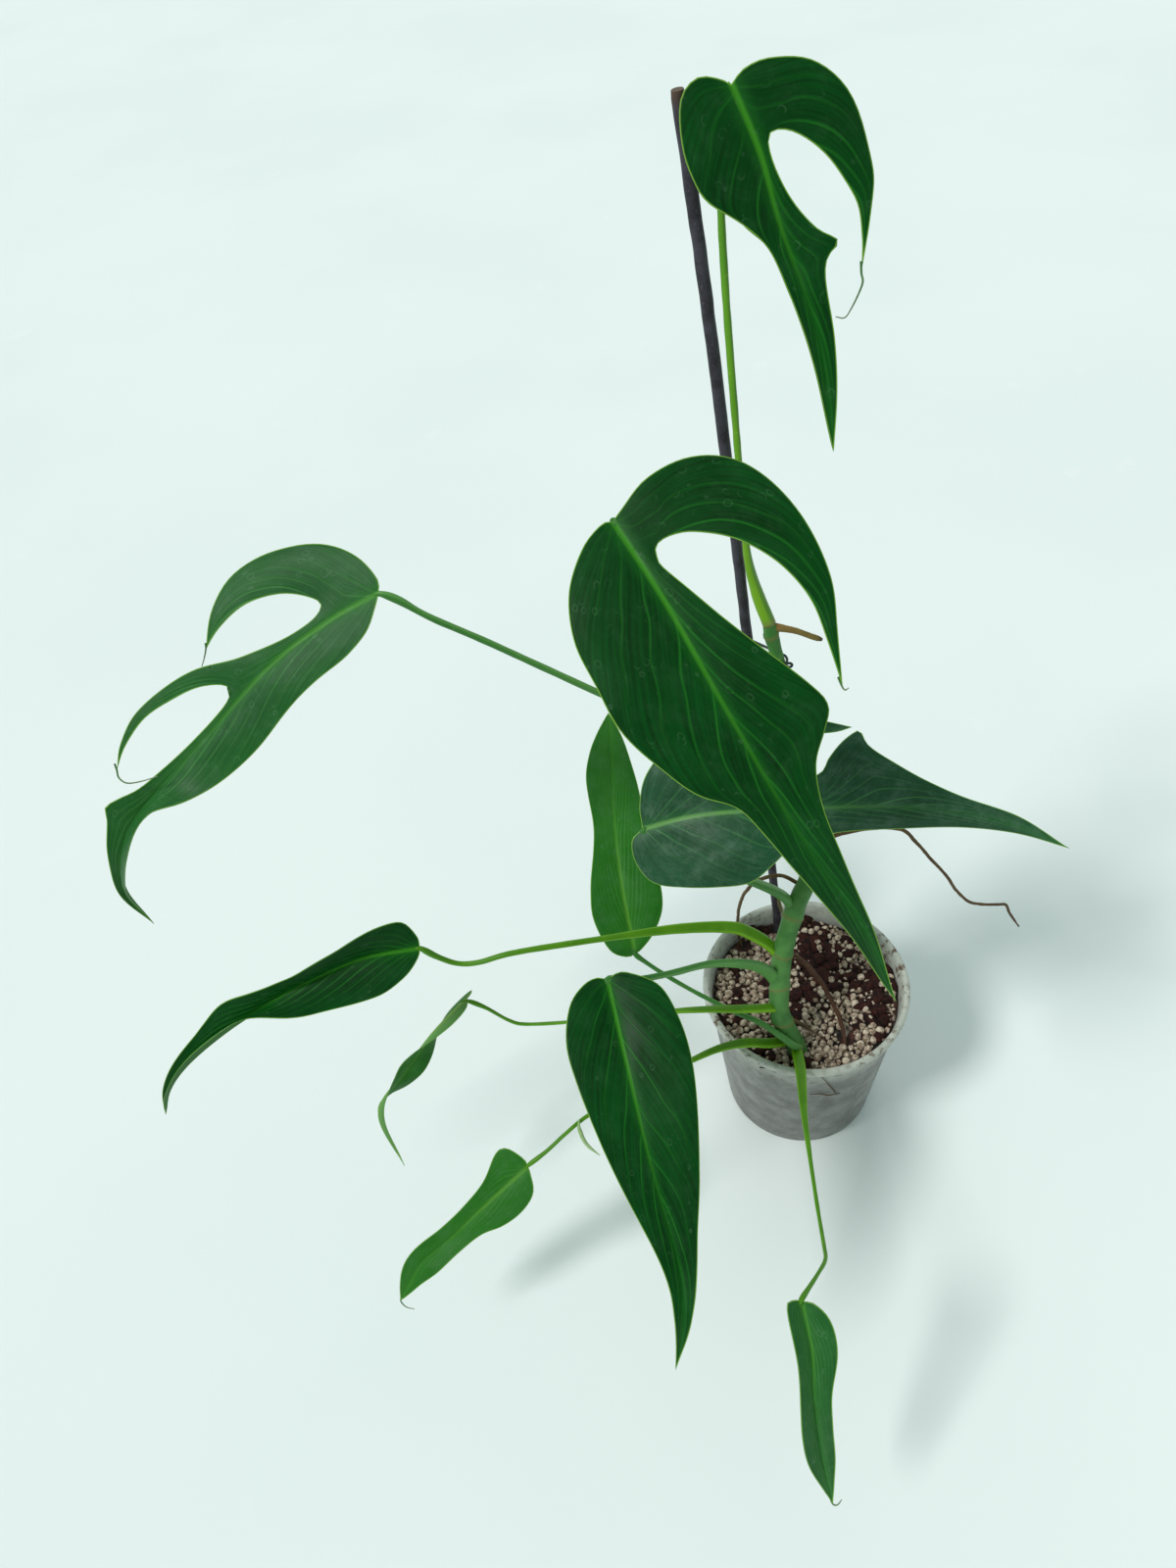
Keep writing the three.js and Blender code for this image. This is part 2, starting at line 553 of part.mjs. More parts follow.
// The flat blade as a mesh: points of the outline and triangles that face its upper side
function flatBlade(spec, length) {
  const points = [];
  const triangles = [];
  const known = new Map();
  const rows = rowsAlong(spec, length);
  const number = (point) => {
    const key = `${point.x.toFixed(3)} ${point.y.toFixed(3)}`;
    if (!known.has(key)) known.set(key, points.push(point) - 1);
    return known.get(key);
  };
  [[spec.left, 1], [spec.right, -1]].forEach(([half, side]) => {
    panels(half, rows, length, spec.step).forEach(([inner, outer]) => {
      const grid = inner.map((point, i) => COLUMNS.map((share) => {
        const mixed = point.clone().lerp(outer[i], share);
        return number(new THREE.Vector3(mixed.x, mixed.y * side, 0));
      }));
      for (let i = 0; i < grid.length - 1; i += 1) {
        for (let j = 0; j < COLUMNS.length - 1; j += 1) {
          const [a, b, c, d] = [grid[i][j], grid[i + 1][j], grid[i + 1][j + 1], grid[i][j + 1]];
          [[a, b, c], [a, c, d]].filter((t) => new Set(t).size === 3)
            .forEach((t) => triangles.push(side > 0 ? t : t.reverse()));
        }
      }
    });
  });
  return { points, triangles };
}

// A blade with its thickness and the raised rib under its middle
function blade(spec) {
  const sheet = new Sheet(spec);
  const { points, triangles } = flatBlade(spec, sheet.length);
  const middle = indexed(points.map((p) => sheet.place(p.x, p.y)), triangles);
  middle.computeVertexNormals();
  const { position, normal } = middle.attributes;
  const upper = [];
  const lower = [];
  points.forEach((p, i) => {
    const place = new THREE.Vector3().fromBufferAttribute(position, i);
    const out = new THREE.Vector3().fromBufferAttribute(normal, i);
    const nearRib = Math.max(0, 1 - Math.abs(p.y) / RIB_HALF_WIDTH);
    const rib = RIB_DEPTH * (1 - Math.max(0, p.x) / sheet.length) * nearRib;
    upper.push(place.clone().addScaledVector(out, BLADE_THICKNESS / 2));
    lower.push(place.clone().addScaledVector(out, -BLADE_THICKNESS / 2 - rib));
  });
  const count = points.length;
  const edges = new Set(triangles.flatMap(([a, b, c]) => [`${a} ${b}`, `${b} ${c}`, `${c} ${a}`]));
  const rim = [...edges].map((edge) => edge.split(' ').map(Number))
    .filter(([a, b]) => !edges.has(`${b} ${a}`));
  const faces = triangles.flatMap(([a, b, c]) => [[a, b, c], [a + count, c + count, b + count]]);
  const sides = rim.flatMap(([a, b]) => [[a, a + count, b + count], [a, b + count, b]]);
  return indexed([...upper, ...lower], [...faces, ...sides]);
}

// The pot: one thin turned shell with a rolled rim and drainage holes round a solid middle
function pot() {
  const p = POT;
  const rimFoot = p.height - p.rimDepth;
  const profile = [
    [0, 0], [p.baseRadius - 1, 0], [p.baseRadius, 1.2], [p.wallTopRadius, rimFoot],
    [p.rimRadius - 0.5, rimFoot + 0.3], [p.rimRadius, rimFoot + 1.3], [p.rimRadius, p.height - 1],
    [p.rimRadius - 0.8, p.height], [p.wallTopRadius + 0.9, p.height],
    [p.wallTopRadius - p.wall + 0.3, p.height - 1.2], [p.wallTopRadius - p.wall, rimFoot - 2],
    [p.baseRadius - p.wall, p.floor + 1], [p.baseRadius - p.wall - 1, p.floor], [0, p.floor],
  ].map(([radius, height]) => new THREE.Vector2(radius, height));
  const shell = new THREE.LatheGeometry(profile, p.sides);
  shell.rotateX(Math.PI / 2);
  let body = solid(shell);
  for (let i = 0; i < p.holes; i += 1) {
    const angle = ((i + 0.5) / p.holes) * 2 * Math.PI;
    const hole = new THREE.CylinderGeometry(p.holeRadius, p.holeRadius, 8, 10);
    hole.rotateX(Math.PI / 2);
    hole.translate(p.holeCircle * Math.cos(angle), p.holeCircle * Math.sin(angle), 0);
    body = body.subtract(solid(hole));
  }
  return body;
}

// The uneven surface of the bed
function soilHeight(x, y) {
  const slow = Math.sin(x * 0.11 + 1.3) * Math.cos(y * 0.13 - 0.4);
  const quick = Math.sin(x * 0.37 + y * 0.21) * Math.cos(y * 0.41 - x * 0.15);
  return SOIL.top + SOIL.relief * (0.6 * slow + 0.4 * quick);
}

// The bed of bark and perlite that fills the pot, with grains and chunks sunk in its surface and plain
// holes where stem, stake and roots stand in it
function substrate(holes) {
  const slope = (POT.wallTopRadius - POT.baseRadius) / (POT.height - POT.rimDepth - 1.2);
  const inner = (z) => POT.baseRadius - POT.wall + (z - POT.floor - 1) * slope - GAP - 0.1;
  const ring = (radius, height) => Array.from({ length: SOIL.sides }, (_, k) => {
    const angle = (k / SOIL.sides) * 2 * Math.PI;
    const [x, y] = [radius * Math.cos(angle), radius * Math.sin(angle)];
    return new THREE.Vector3(x, y, height ?? soilHeight(x, y));
  });
  const bottom = POT.floor + GAP;
  const outer = inner(SOIL.top - 2);
  const rings = [ring(inner(bottom + 1.5) - 1.4, bottom), ring(inner(bottom + 1.5), bottom + 1.5),
    ring(outer, SOIL.top - 2), ...SOIL.rings.map((share) => ring(outer * share))];
  const middles = [new THREE.Vector3(0, 0, bottom), new THREE.Vector3(0, 0, soilHeight(0, 0))];
  const points = [...rings.flat(), ...middles];
  const n = SOIL.sides;
  const triangles = [];
  for (let i = 0; i < rings.length - 1; i += 1) {
    for (let k = 0; k < n; k += 1) {
      const a = i * n + k;
      const b = i * n + ((k + 1) % n);
      triangles.push([a, b, b + n], [a, b + n, a + n]);
    }
  }
  const foot = rings.length * n;
  const last = (rings.length - 1) * n;
  for (let k = 0; k < n; k += 1) {
    const next = (k + 1) % n;
    triangles.push([foot, next, k], [foot + 1, last + k, last + next]);
  }
  const random = seeded(41);
  const spread = (margin) => {
    const radius = Math.sqrt(random()) * (outer - margin);
    const angle = random() * 2 * Math.PI;
    return [radius * Math.cos(angle), radius * Math.sin(angle)];
  };
  const turned = (geometry) => geometry.applyMatrix4(new THREE.Matrix4().makeRotationFromEuler(
    new THREE.Euler((random() - 0.5) * 0.8, (random() - 0.5) * 0.8, random() * 6.3),
  ));
  const bits = [];
  for (let i = 0; i < CHUNK.count; i += 1) {
    const size = 0.7 + 0.5 * random();
    const block = new THREE.BoxGeometry(CHUNK.length, CHUNK.width, CHUNK.height);
    const chunk = turned(block.scale(size, size, size));
    const [x, y] = spread(6.5);
    bits.push(solid(chunk.translate(x, y, soilHeight(x, y) + CHUNK.sunk)));
  }
  for (let i = 0; i < GRAIN.count; i += 1) {
    const radius = THREE.MathUtils.lerp(GRAIN.small, GRAIN.large, random());
    const grain = turned(new THREE.IcosahedronGeometry(radius, 0));
    const [x, y] = spread(4);
    bits.push(solid(grain.translate(x, y, soilHeight(x, y) + radius * GRAIN.sunk)));
  }
  const body = bits.reduce((rest, bit) => rest.add(bit), solid(indexed(points, triangles)));
  return cut(body, holes);
}

// The stem, with a low ring at each leaf scar
function stem(grow = 0) {
  const steps = 44;
  const rows = evenly(steps).map((place) => {
    const [radius] = between(STEM.radius, place);
    const scar = STEM.scars.some((at) => Math.abs(at - place) < 0.5 / steps) ? 0.5 : 0;
    return [place, radius + scar, radius + scar];
  });
  return solid(tube(STEM.path, rows, { sides: 10, steps, grow, up: [0, -1, 0] }));
}

function stake(grow = 0) {
  const rows = round([[0, STAKE_RADIUS - 0.5], [0.02, STAKE_RADIUS], [1, STAKE_RADIUS]]);
  return solid(tube(STAKE, rows, { sides: 8, steps: 12, grow, up: [0, 1, 0] }));
}

// The point at which a rising line reaches a height
const atHeight = (path, height) => smooth(path).find((point) => point.z >= height).clone().setZ(height);

// The tie: a thin coated wire once round stem and stake, with the small eye of its twist at the right
function tie() {
  const stemRadius = 3.1;
  const [trunk, post] = [atHeight(STEM.path, TIE.height), atHeight(STAKE, TIE.height)];
  const axis = trunk.clone().sub(post).normalize();
  const across = new THREE.Vector3(-axis.y, axis.x, 0);
  const arc = (centre, radius, start, end, count) => evenly(count).map((share) => {
    const angle = THREE.MathUtils.lerp(start, end, share) * Math.PI;
    const reach = axis.clone().multiplyScalar(Math.cos(angle)).addScaledVector(across, Math.sin(angle));
    return centre.clone().addScaledVector(reach, radius).toArray();
  });
  const clear = 2 * GAP + TIE.radius;
  const loop = [
    ...arc(trunk, stemRadius + clear, -0.5, 0.5, 5),
    ...arc(post, STAKE_RADIUS + clear, 0.5, 1.5, 4),
  ];
  const eyeCentre = trunk.clone().addScaledVector(axis, stemRadius + clear + TIE.eyeRadius + TIE.radius);
  const eye = arc(eyeCentre, TIE.eyeRadius, 1, 3, 8).slice(1);
  const wire = round([[0, TIE.radius], [1, TIE.radius]]);
  return solid(tube(loop, wire, { sides: 6, steps: 20, ring: true }))
    .add(solid(tube(eye, wire, { sides: 6, steps: 8, ring: true })));
}

const petiole = ({ path, section, steps }, grow = 0) => solid(tube(path, section, { steps, grow }));
const root = ({ path, radius, steps }, grow = 0) => (
  solid(tube(path, round(radius), { sides: 6, steps, grow }))
);

// The assembled plant

const plant = new THREE.Group();

function add(name, body, colour, roughness, more = {}) {
  const mesh = new THREE.Mesh(geometryOf(body), new THREE.MeshStandardMaterial({
    color: colour, roughness, metalness: 0, ...more,
  }));
  mesh.name = name;
  plant.add(mesh);
}

const stemRoom = stem(GAP);
const placed = [];
const stalks = Object.entries(PETIOLES).map(([name, spec]) => {
  const body = cut(petiole(spec), [stemRoom, ...placed]);
  placed.push(petiole(spec, GAP));
  return [name, body];
});
const roots = Object.entries(ROOTS).map(([name, spec]) => [name, cut(root(spec), [stemRoom, ...placed])]);
const inSoil = [stemRoom, stake(GAP), ...placed, ...Object.values(ROOTS).map((spec) => root(spec, GAP))];

add('pot', pot(), COLOUR.pot, 0.45, { transparent: true, opacity: 0.6 });
add('substrate', substrate(inSoil), COLOUR.soil, 0.95);
add('stem', stem(), COLOUR.stem, 0.6);
add('stake', stake(), COLOUR.stake, 0.8);
add('tie', tie(), COLOUR.tie, 0.5);
stalks.forEach(([name, body]) => add(`petiole_${name}`, body, COLOUR.petiole, 0.5));
Object.entries(BLADES).forEach(([name, spec]) => {
  const body = cut(solid(blade(spec)), placed);
  add(`blade_${name}`, body, YOUNG.includes(name) ? COLOUR.youngBlade : COLOUR.blade, 0.4);
});
roots.forEach(([name, body]) => add(`root_${name}`, body, COLOUR.root, 0.8));

export default plant;
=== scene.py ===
"""A potted burle marx flame monstera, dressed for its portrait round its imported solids.

The plant is a young climbing aroid on a slim stake, in a frosted nursery pot of bark and perlite. Sizes
and places here are in millimetres and in the frame of the solids: +X to the right, +Y to the back and +Z
up from the middle of the pot's base. They turn to metres where a mesh is made.
"""
import logging
import math
from collections.abc import Sequence
from dataclasses import dataclass
from enum import Enum
from typing import Any, NamedTuple

import bpy
import numpy as np
from mathutils import Matrix, Vector, noise


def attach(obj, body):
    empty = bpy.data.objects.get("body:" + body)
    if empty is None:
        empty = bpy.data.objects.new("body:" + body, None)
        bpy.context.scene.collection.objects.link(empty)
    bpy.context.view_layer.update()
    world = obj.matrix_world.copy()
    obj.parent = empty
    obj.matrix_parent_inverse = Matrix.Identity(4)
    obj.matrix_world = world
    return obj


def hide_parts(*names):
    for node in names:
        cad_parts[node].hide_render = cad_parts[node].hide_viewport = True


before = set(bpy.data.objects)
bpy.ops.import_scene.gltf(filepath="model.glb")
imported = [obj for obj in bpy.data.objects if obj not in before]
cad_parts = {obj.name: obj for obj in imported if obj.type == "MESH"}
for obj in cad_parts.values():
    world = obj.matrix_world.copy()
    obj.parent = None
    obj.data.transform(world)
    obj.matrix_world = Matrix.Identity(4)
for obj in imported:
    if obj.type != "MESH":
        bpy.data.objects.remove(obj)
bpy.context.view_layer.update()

MM = 0.001
BODY = "root"
log = logging.getLogger("monstera")

Points = Sequence[Sequence[float]]
Array = np.ndarray
Tree = bpy.types.NodeTree
Socket = bpy.types.NodeSocket
Piece = bpy.types.Object
Tone = str | Socket
Settings = dict[str, Any] | None
Inputs = dict[str | int, Any] | None


class Slot(Enum):
    """The record's material slots, by the piece that wears them."""

    POT = "pot"
    SUBSTRATE = "substrate"
    STEM = "stem"
    STAKE = "stake"
    TIE = "tie"
    STALK = "petiole"
    BLADE = "blade"
    YOUNG_BLADE = "young_blade"
    ROOT = "root"


# Node and material work


def linear(hex_code: str) -> tuple[float, float, float, float]:
    """Turn an sRGB hex colour such as "#5c7d5e" into the linear colour that a shader takes."""
    parts = [int(hex_code[i:i + 2], 16) / 255 for i in (1, 3, 5)]
    return (*(c / 12.92 if c <= 0.04045 else ((c + 0.055) / 1.055) ** 2.4 for c in parts), 1.0)


def add_node(tree: Tree, kind: str, settings: Settings = None, inputs: Inputs = None) -> bpy.types.Node:
    """Add a node to a tree.

    Args:
        tree: a material's tree or a geometry tree.
        kind: the node's type, such as "ShaderNodeMath".
        settings: properties of the node, by name.
        inputs: by name or number, a value for an input, or the output that feeds it.

    Returns:
        The new node.
    """
    node = tree.nodes.new(kind)
    for name, value in (settings or {}).items():
        setattr(node, name, value)
    for key, value in (inputs or {}).items():
        if isinstance(value, Socket):
            tree.links.new(value, node.inputs[key])
        else:
            node.inputs[key].default_value = value
    return node


def maths(tree: Tree, operation: str, *values: float | Socket) -> Socket:
    """Work out a number from one to three others."""
    return add_node(tree, "ShaderNodeMath", {"operation": operation}, dict(enumerate(values))).outputs[0]


def split(tree: Tree, vector: Socket) -> list[Socket]:
    """Part a vector into its three numbers."""
    return list(add_node(tree, "ShaderNodeSeparateXYZ", inputs={"Vector": vector}).outputs)


def attribute(tree: Tree, name: str) -> Socket:
    """Read a vector that the mesh carries."""
    return add_node(tree, "ShaderNodeAttribute", {"attribute_name": name}).outputs["Vector"]


def own_place(tree: Tree) -> Socket:
    """Read the place on the piece itself, in metres."""
    return add_node(tree, "ShaderNodeTexCoord").outputs["Object"]


def cloud(tree: Tree, place: Socket, scale: float | Socket, detail: float, rough: float = 0.5) -> Socket:
    """Make soft random values, mostly from 0.3 to 0.7, with so many swells in a unit of the place."""
    return add_node(tree, "ShaderNodeTexNoise", inputs={
        "Vector": place, "Scale": scale, "Detail": detail, "Roughness": rough}).outputs["Fac"]


def mask(
    tree: Tree, value: Socket, start: float, end: float, least: float = 0.0, most: float = 1.0,
    soft: bool = True,
) -> Socket:
    """Turn a value into a strength.

    Args:
        tree: the material's tree.
        value: the value to judge.
        start: the value with the first strength.
        end: the value with the second.
        least: the first strength.
        most: the second.
        soft: whether it eases in and out.

    Returns:
        The strength output.
    """
    easing = {"interpolation_type": "SMOOTHSTEP"} if soft else {}
    return add_node(tree, "ShaderNodeMapRange", easing, {
        "Value": value, "From Min": start, "From Max": end, "To Min": least,
        "To Max": most}).outputs["Result"]


class Mix(NamedTuple):
    """Where a Mix node's colour sockets are, among those of its other kinds.

    Args:
        factor: the number of the factor's input.
        a: that of the lower colour.
        b: that of the upper colour.
        result: the number of the mixed colour's output.
    """

    factor: int = 0
    a: int = 6
    b: int = 7
    result: int = 2


MIX = Mix()


def blend(tree: Tree, share: float | Socket, under: Tone, over: Tone) -> Socket:
    """Lay one tone over another.

    Args:
        tree: the material's tree.
        share: how strongly the upper tone covers, from 0 to 1.
        under: the lower tone, a hex colour or an output.
        over: the upper tone, likewise.

    Returns:
        The colour output.
    """
    low, high = (linear(tone) if isinstance(tone, str) else tone for tone in (under, over))
    return add_node(tree, "ShaderNodeMix", {"data_type": "RGBA"}, {
        MIX.factor: share, MIX.a: low, MIX.b: high}).outputs[MIX.result]


def relief_shader(
    tree: Tree, colour: Socket, roughness: float | Socket, height: Socket, strength: float, depth: float,
    more: Inputs = None,
) -> Socket:
    """Put a colour on a shader with a fine relief.

    Args:
        tree: the material's tree.
        colour: the colour output.
        roughness: from 0, polished, to 1, chalky.
        height: the output that the relief follows.
        strength: how much the relief shows, from 0 to 1.
        depth: how deep it is, in mm, and below 0 where high values lie deep.
        more: other inputs of the shader, by name.

    Returns:
        The shader output.
    """
    bump = add_node(tree, "ShaderNodeBump", {"invert": depth < 0}, {
        "Strength": strength, "Distance": abs(depth) * MM, "Height": height})
    return add_node(tree, "ShaderNodeBsdfPrincipled", inputs={
        "Base Color": colour, "Roughness": roughness, "Normal": bump.outputs["Normal"],
        **(more or {})}).outputs["BSDF"]


@dataclass(frozen=True)
class Finish:
    """A finish, which makes one material. Its name says what the real surface is.

    Args:
        name: the material's name.
        roughness: from 0, polished, to 1, chalky.
    """

    name: str
    roughness: float = 0.5

    def material(self) -> bpy.types.Material:
        """Build the material once, and give the same one back after that.

        Returns:
            The material.
        """
        made = bpy.data.materials.get(self.name)
        if made is not None:
            return made
        made = bpy.data.materials.new(self.name)
        made.use_nodes = True
        made.node_tree.nodes.clear()
        surface = self.surface(made.node_tree)
        add_node(made.node_tree, "ShaderNodeOutputMaterial", inputs={"Surface": surface})
        return made

    def surface(self, tree: Tree) -> Socket:
        """Build the nodes in a material's empty tree, and give the shader output that it shows."""
        raise NotImplementedError


@dataclass(frozen=True)
class Mottled(Finish):
    """A matt natural skin: two tones in soft patches, a third in small flecks, and a fine tooth.

    Args:
        dark: the deeper tone.
        light: the paler tone.
        fleck: the tone of the small spots.
        patch: the width of the patches, in mm.
        fleck_size: the width of the flecks, in mm.
        fleck_share: from 0, none, to 1, all over.
        tooth: the depth of the fine relief, in mm.
        shine: how strongly it reflects, from 0 to 1.
    """

    dark: str = "#404040"
    light: str = "#808080"
    fleck: str = "#a0a0a0"
    patch: float = 8.0
    fleck_size: float = 1.5
    fleck_share: float = 0.3
    tooth: float = 0.1
    shine: float = 0.25

    def surface(self, tree: Tree) -> Socket:
        """Build the nodes, on the piece's own coordinates."""
        place = own_place(tree)
        return self.skin(tree, place, self.tones(tree, place))

    def tones(self, tree: Tree, place: Socket) -> Socket:
        """Build the colour from patches and flecks.

        Args:
            tree: the material's tree.
            place: the coordinates, in metres.

        Returns:
            The colour output.
        """
        patches = mask(tree, cloud(tree, place, 1 / (self.patch * MM), 3.0), 0.35, 0.65)
        flecks = cloud(tree, place, 1 / (self.fleck_size * MM), 2.0)
        rare = 0.72 - 0.3 * self.fleck_share
        body = blend(tree, patches, self.dark, self.light)
        return blend(tree, mask(tree, flecks, rare, rare + 0.1), body, self.fleck)

    def skin(self, tree: Tree, place: Socket, colour: Socket) -> Socket:
        """Put the colour on a shader with the fine tooth, at coordinates in metres."""
        grit = cloud(tree, place, 1 / (self.fleck_size * MM), 4.0, 0.6)
        return relief_shader(tree, colour, self.roughness, grit, 0.6, self.tooth,
                             {"Specular IOR Level": self.shine})


@dataclass(frozen=True)
class Stalky(Mottled):
    """A skin whose tone changes along the piece, with brown rings or ends where `mark` is high.

    The mesh carries `run`: x is the share of the length, y the share of the way up the section and z
    the strength of the mark.

    Args:
        foot: the tone at the lower end.
        head: the tone at the upper end.
        upper: the tone of the upper side, as in a leaf stalk's channel.
        mark: the tone of rings, scars and dried ends.
        blend: how much the tones by place count against the patches.
    """

    foot: str = "#5c7d5e"
    head: str = "#5f9a3c"
    upper: str = "#7ab03c"
    mark: str = "#7a5a35"
    blend: float = 0.7

    def surface(self, tree: Tree) -> Socket:
        """Build the nodes, on the piece's coordinates and its `run` attribute.

        Args:
            tree: the material's empty tree.

        Returns:
            The shader output.
        """
        place = own_place(tree)
        length, rise, mark = split(tree, attribute(tree, "run"))
        by_place = blend(tree, length, self.foot, self.head)
        by_place = blend(tree, mask(tree, rise, 0.7, 0.95, 0.0, 0.9), by_place, self.upper)
        body = blend(tree, self.blend, self.tones(tree, place), by_place)
        return self.skin(tree, place, blend(tree, mark, body, self.mark))


@dataclass(frozen=True)
class LeafSkin(Finish):
    """A waxy leaf face: a pale midrib, finer side veins, faint streaks, water marks, patches of painted
    sheen and a margin painted pale as a highlight.

    The mesh carries `flat`, mm along and out from the midrib and mm from the margin; `vein`, which
    counts side veins, then mm for one of them and the share out to the margin; and `rib`, the distance
    from the middle in half widths of the midrib, then the share of the blade's length and how far
    the relief is free of a slit's root, from 0 to 1.

    Args:
        dark: the deeper tone of the blade.
        light: the paler tone of its streaks.
        vein: the tone of the side veins.
        rib: the tone of the midrib at the stalk.
        rib_end: the tone of the midrib towards the tip.
        margin: the tone of the thin edge, painted pale as a highlight where light catches it.
        water_and_sheen: the tone of dried water, and of the painted sheen.
        glow: the tone of light that comes through.
        glow_share: how much of the light comes through, from 0 to 1.
        marks: how strongly dried water shows, from 0 to 1.
        dust_and_sheen: how strongly the cloudy waxy dust and its painted sheen show, from 0 to 1.
        edge_highlight_share: how strongly the painted highlight on the edge shows, from 0 to 1.
        vein_width: half the width of a side vein, in mm.
        shine: how strongly it reflects, from 0 to 1.
    """

    dark: str = "#002f07"
    light: str = "#024d14"
    vein: str = "#1b691a"
    rib: str = "#3c8a1c"
    rib_end: str = "#0c5412"
    margin: str = "#8fbe4a"
    water_and_sheen: str = "#6c9470"
    glow: str = "#4fa020"
    glow_share: float = 0.05
    marks: float = 0.24
    dust_and_sheen: float = 0.045
    edge_highlight_share: float = 0.75
    vein_width: float = 0.6
    shine: float = 0.11

    def surface(self, tree: Tree) -> Socket:
        """Build the nodes, on the blade's own attributes.

        Args:
            tree: the material's empty tree.

        Returns:
            The shader output.
        """
        flat, veins = attribute(tree, "flat"), attribute(tree, "vein")
        rib, length, calm = split(tree, attribute(tree, "rib"))
        from_edge = split(tree, flat)[2]
        rib_tone = blend(tree, mask(tree, length, 0.7, 0.12, 1.0, 0.0), self.rib, self.rib_end)
        side_veins = maths(tree, "MULTIPLY", self.side_veins(tree, flat, veins), calm)
        stretched = add_node(tree, "ShaderNodeVectorMath", {"operation": "MULTIPLY"}, {
            0: veins, 1: (7.0, 0.0, 1.6)}).outputs[0]
        streak = add_node(tree, "ShaderNodeMix", {"data_type": "FLOAT"}, {
            0: calm, 2: 0.5, 3: cloud(tree, stretched, 1.0, 3.0)}).outputs[0]
        clouds = cloud(tree, flat, 0.035, 3.0)
        lighter = maths(tree, "MULTIPLY_ADD", streak, 1.4, clouds)
        layers = [
            (mask(tree, lighter, 0.8, 1.6, soft=False), self.light),
            (side_veins, self.vein),
            (mask(tree, rib, 0.7, 3.6, 0.35, 0.0), self.vein),
            (mask(tree, rib, 0.2, 1.15, 0.85, 0.0), rib_tone),
            # painted sheen: cloudy pale patches of waxy dust, laid on to stand in for reflected sky
            (self.wax_and_sheen(tree, flat), self.water_and_sheen),
            (self.water_marks(tree, flat), self.water_and_sheen),
            # painted highlight: the margin made paler where light catches the thin edge
            (mask(tree, from_edge, 0.15, 0.5, self.edge_highlight_share, 0.0), self.margin),
        ]
        colour: Tone = self.dark
        for share, tone in layers:
            colour = blend(tree, share, colour, tone)
        shine = mask(tree, clouds, 0.3, 0.7, self.roughness - 0.04, self.roughness + 0.05, soft=False)
        wax_and_sheen = relief_shader(tree, colour, shine, maths(tree, "SUBTRACT", streak, side_veins), 0.35, 0.25,
                            {"Specular IOR Level": self.shine})
        through = add_node(tree, "ShaderNodeBsdfTranslucent", inputs={
            "Color": blend(tree, 0.6, colour, self.glow)})
        return add_node(tree, "ShaderNodeMixShader", inputs={
            0: self.glow_share, 1: wax_and_sheen, 2: through.outputs["BSDF"]}).outputs["Shader"]

    def wax_and_sheen(self, tree: Tree, flat: Socket) -> Socket:
        """Build the mask of the cloudy waxy dust on the blade, which also paints in a silvery sheen."""
        return mask(tree, cloud(tree, flat, 0.11, 7.0, 0.75), 0.42, 0.72, 0.0, self.dust_and_sheen)

    def side_veins(self, tree: Tree, flat: Socket, veins: Socket) -> Socket:
        """Build the mask of the side veins, each with its own strength, fading to the margin.

        Args:
            tree: the material's tree.
            flat: the `flat` attribute.
            veins: the `vein` attribute.

        Returns:
            The mask output.
        """
        number, gap, out = split(tree, veins)
        count = maths(tree, "MULTIPLY_ADD", cloud(tree, flat, 0.03, 1.0), 0.9, number)
        away = maths(tree, "MULTIPLY", maths(tree, "PINGPONG", count, 0.5), gap)
        draw = add_node(tree, "ShaderNodeTexWhiteNoise", {"noise_dimensions": "1D"}, {
            "W": maths(tree, "ROUND", count)}).outputs["Value"]
        line = maths(tree, "MULTIPLY", mask(tree, away, 0.15, self.vein_width, 1.0, 0.0),
                     mask(tree, draw, 0.0, 1.0, 0.5, 0.95, soft=False))
        return maths(tree, "MULTIPLY", line, mask(tree, out, 0.0, 1.05, 1.0, 0.0))

    def water_marks(self, tree: Tree, flat: Socket) -> Socket:
        """Build the mask of dried water: thin rings some 3 mm across and small specks.

        Args:
            tree: the material's tree.
            flat: the `flat` attribute.

        Returns:
            The mask output.
        """
        drops, specks = (add_node(tree, "ShaderNodeTexVoronoi", inputs={
            "Vector": flat, "Scale": 1 / gap}).outputs["Distance"] for gap in (6, 2.8))
        off_ring = maths(tree, "ABSOLUTE", maths(tree, "SUBTRACT", drops, 0.24))
        both = maths(tree, "MAXIMUM", mask(tree, off_ring, 0.01, 0.07, 0.55, 0.0),
                     mask(tree, specks, 0.04, 0.12, 1.0, 0.0))
        where = mask(tree, cloud(tree, flat, 0.13, 6.0), 0.48, 0.66, 0.0, self.marks)
        return maths(tree, "MULTIPLY", both, where)


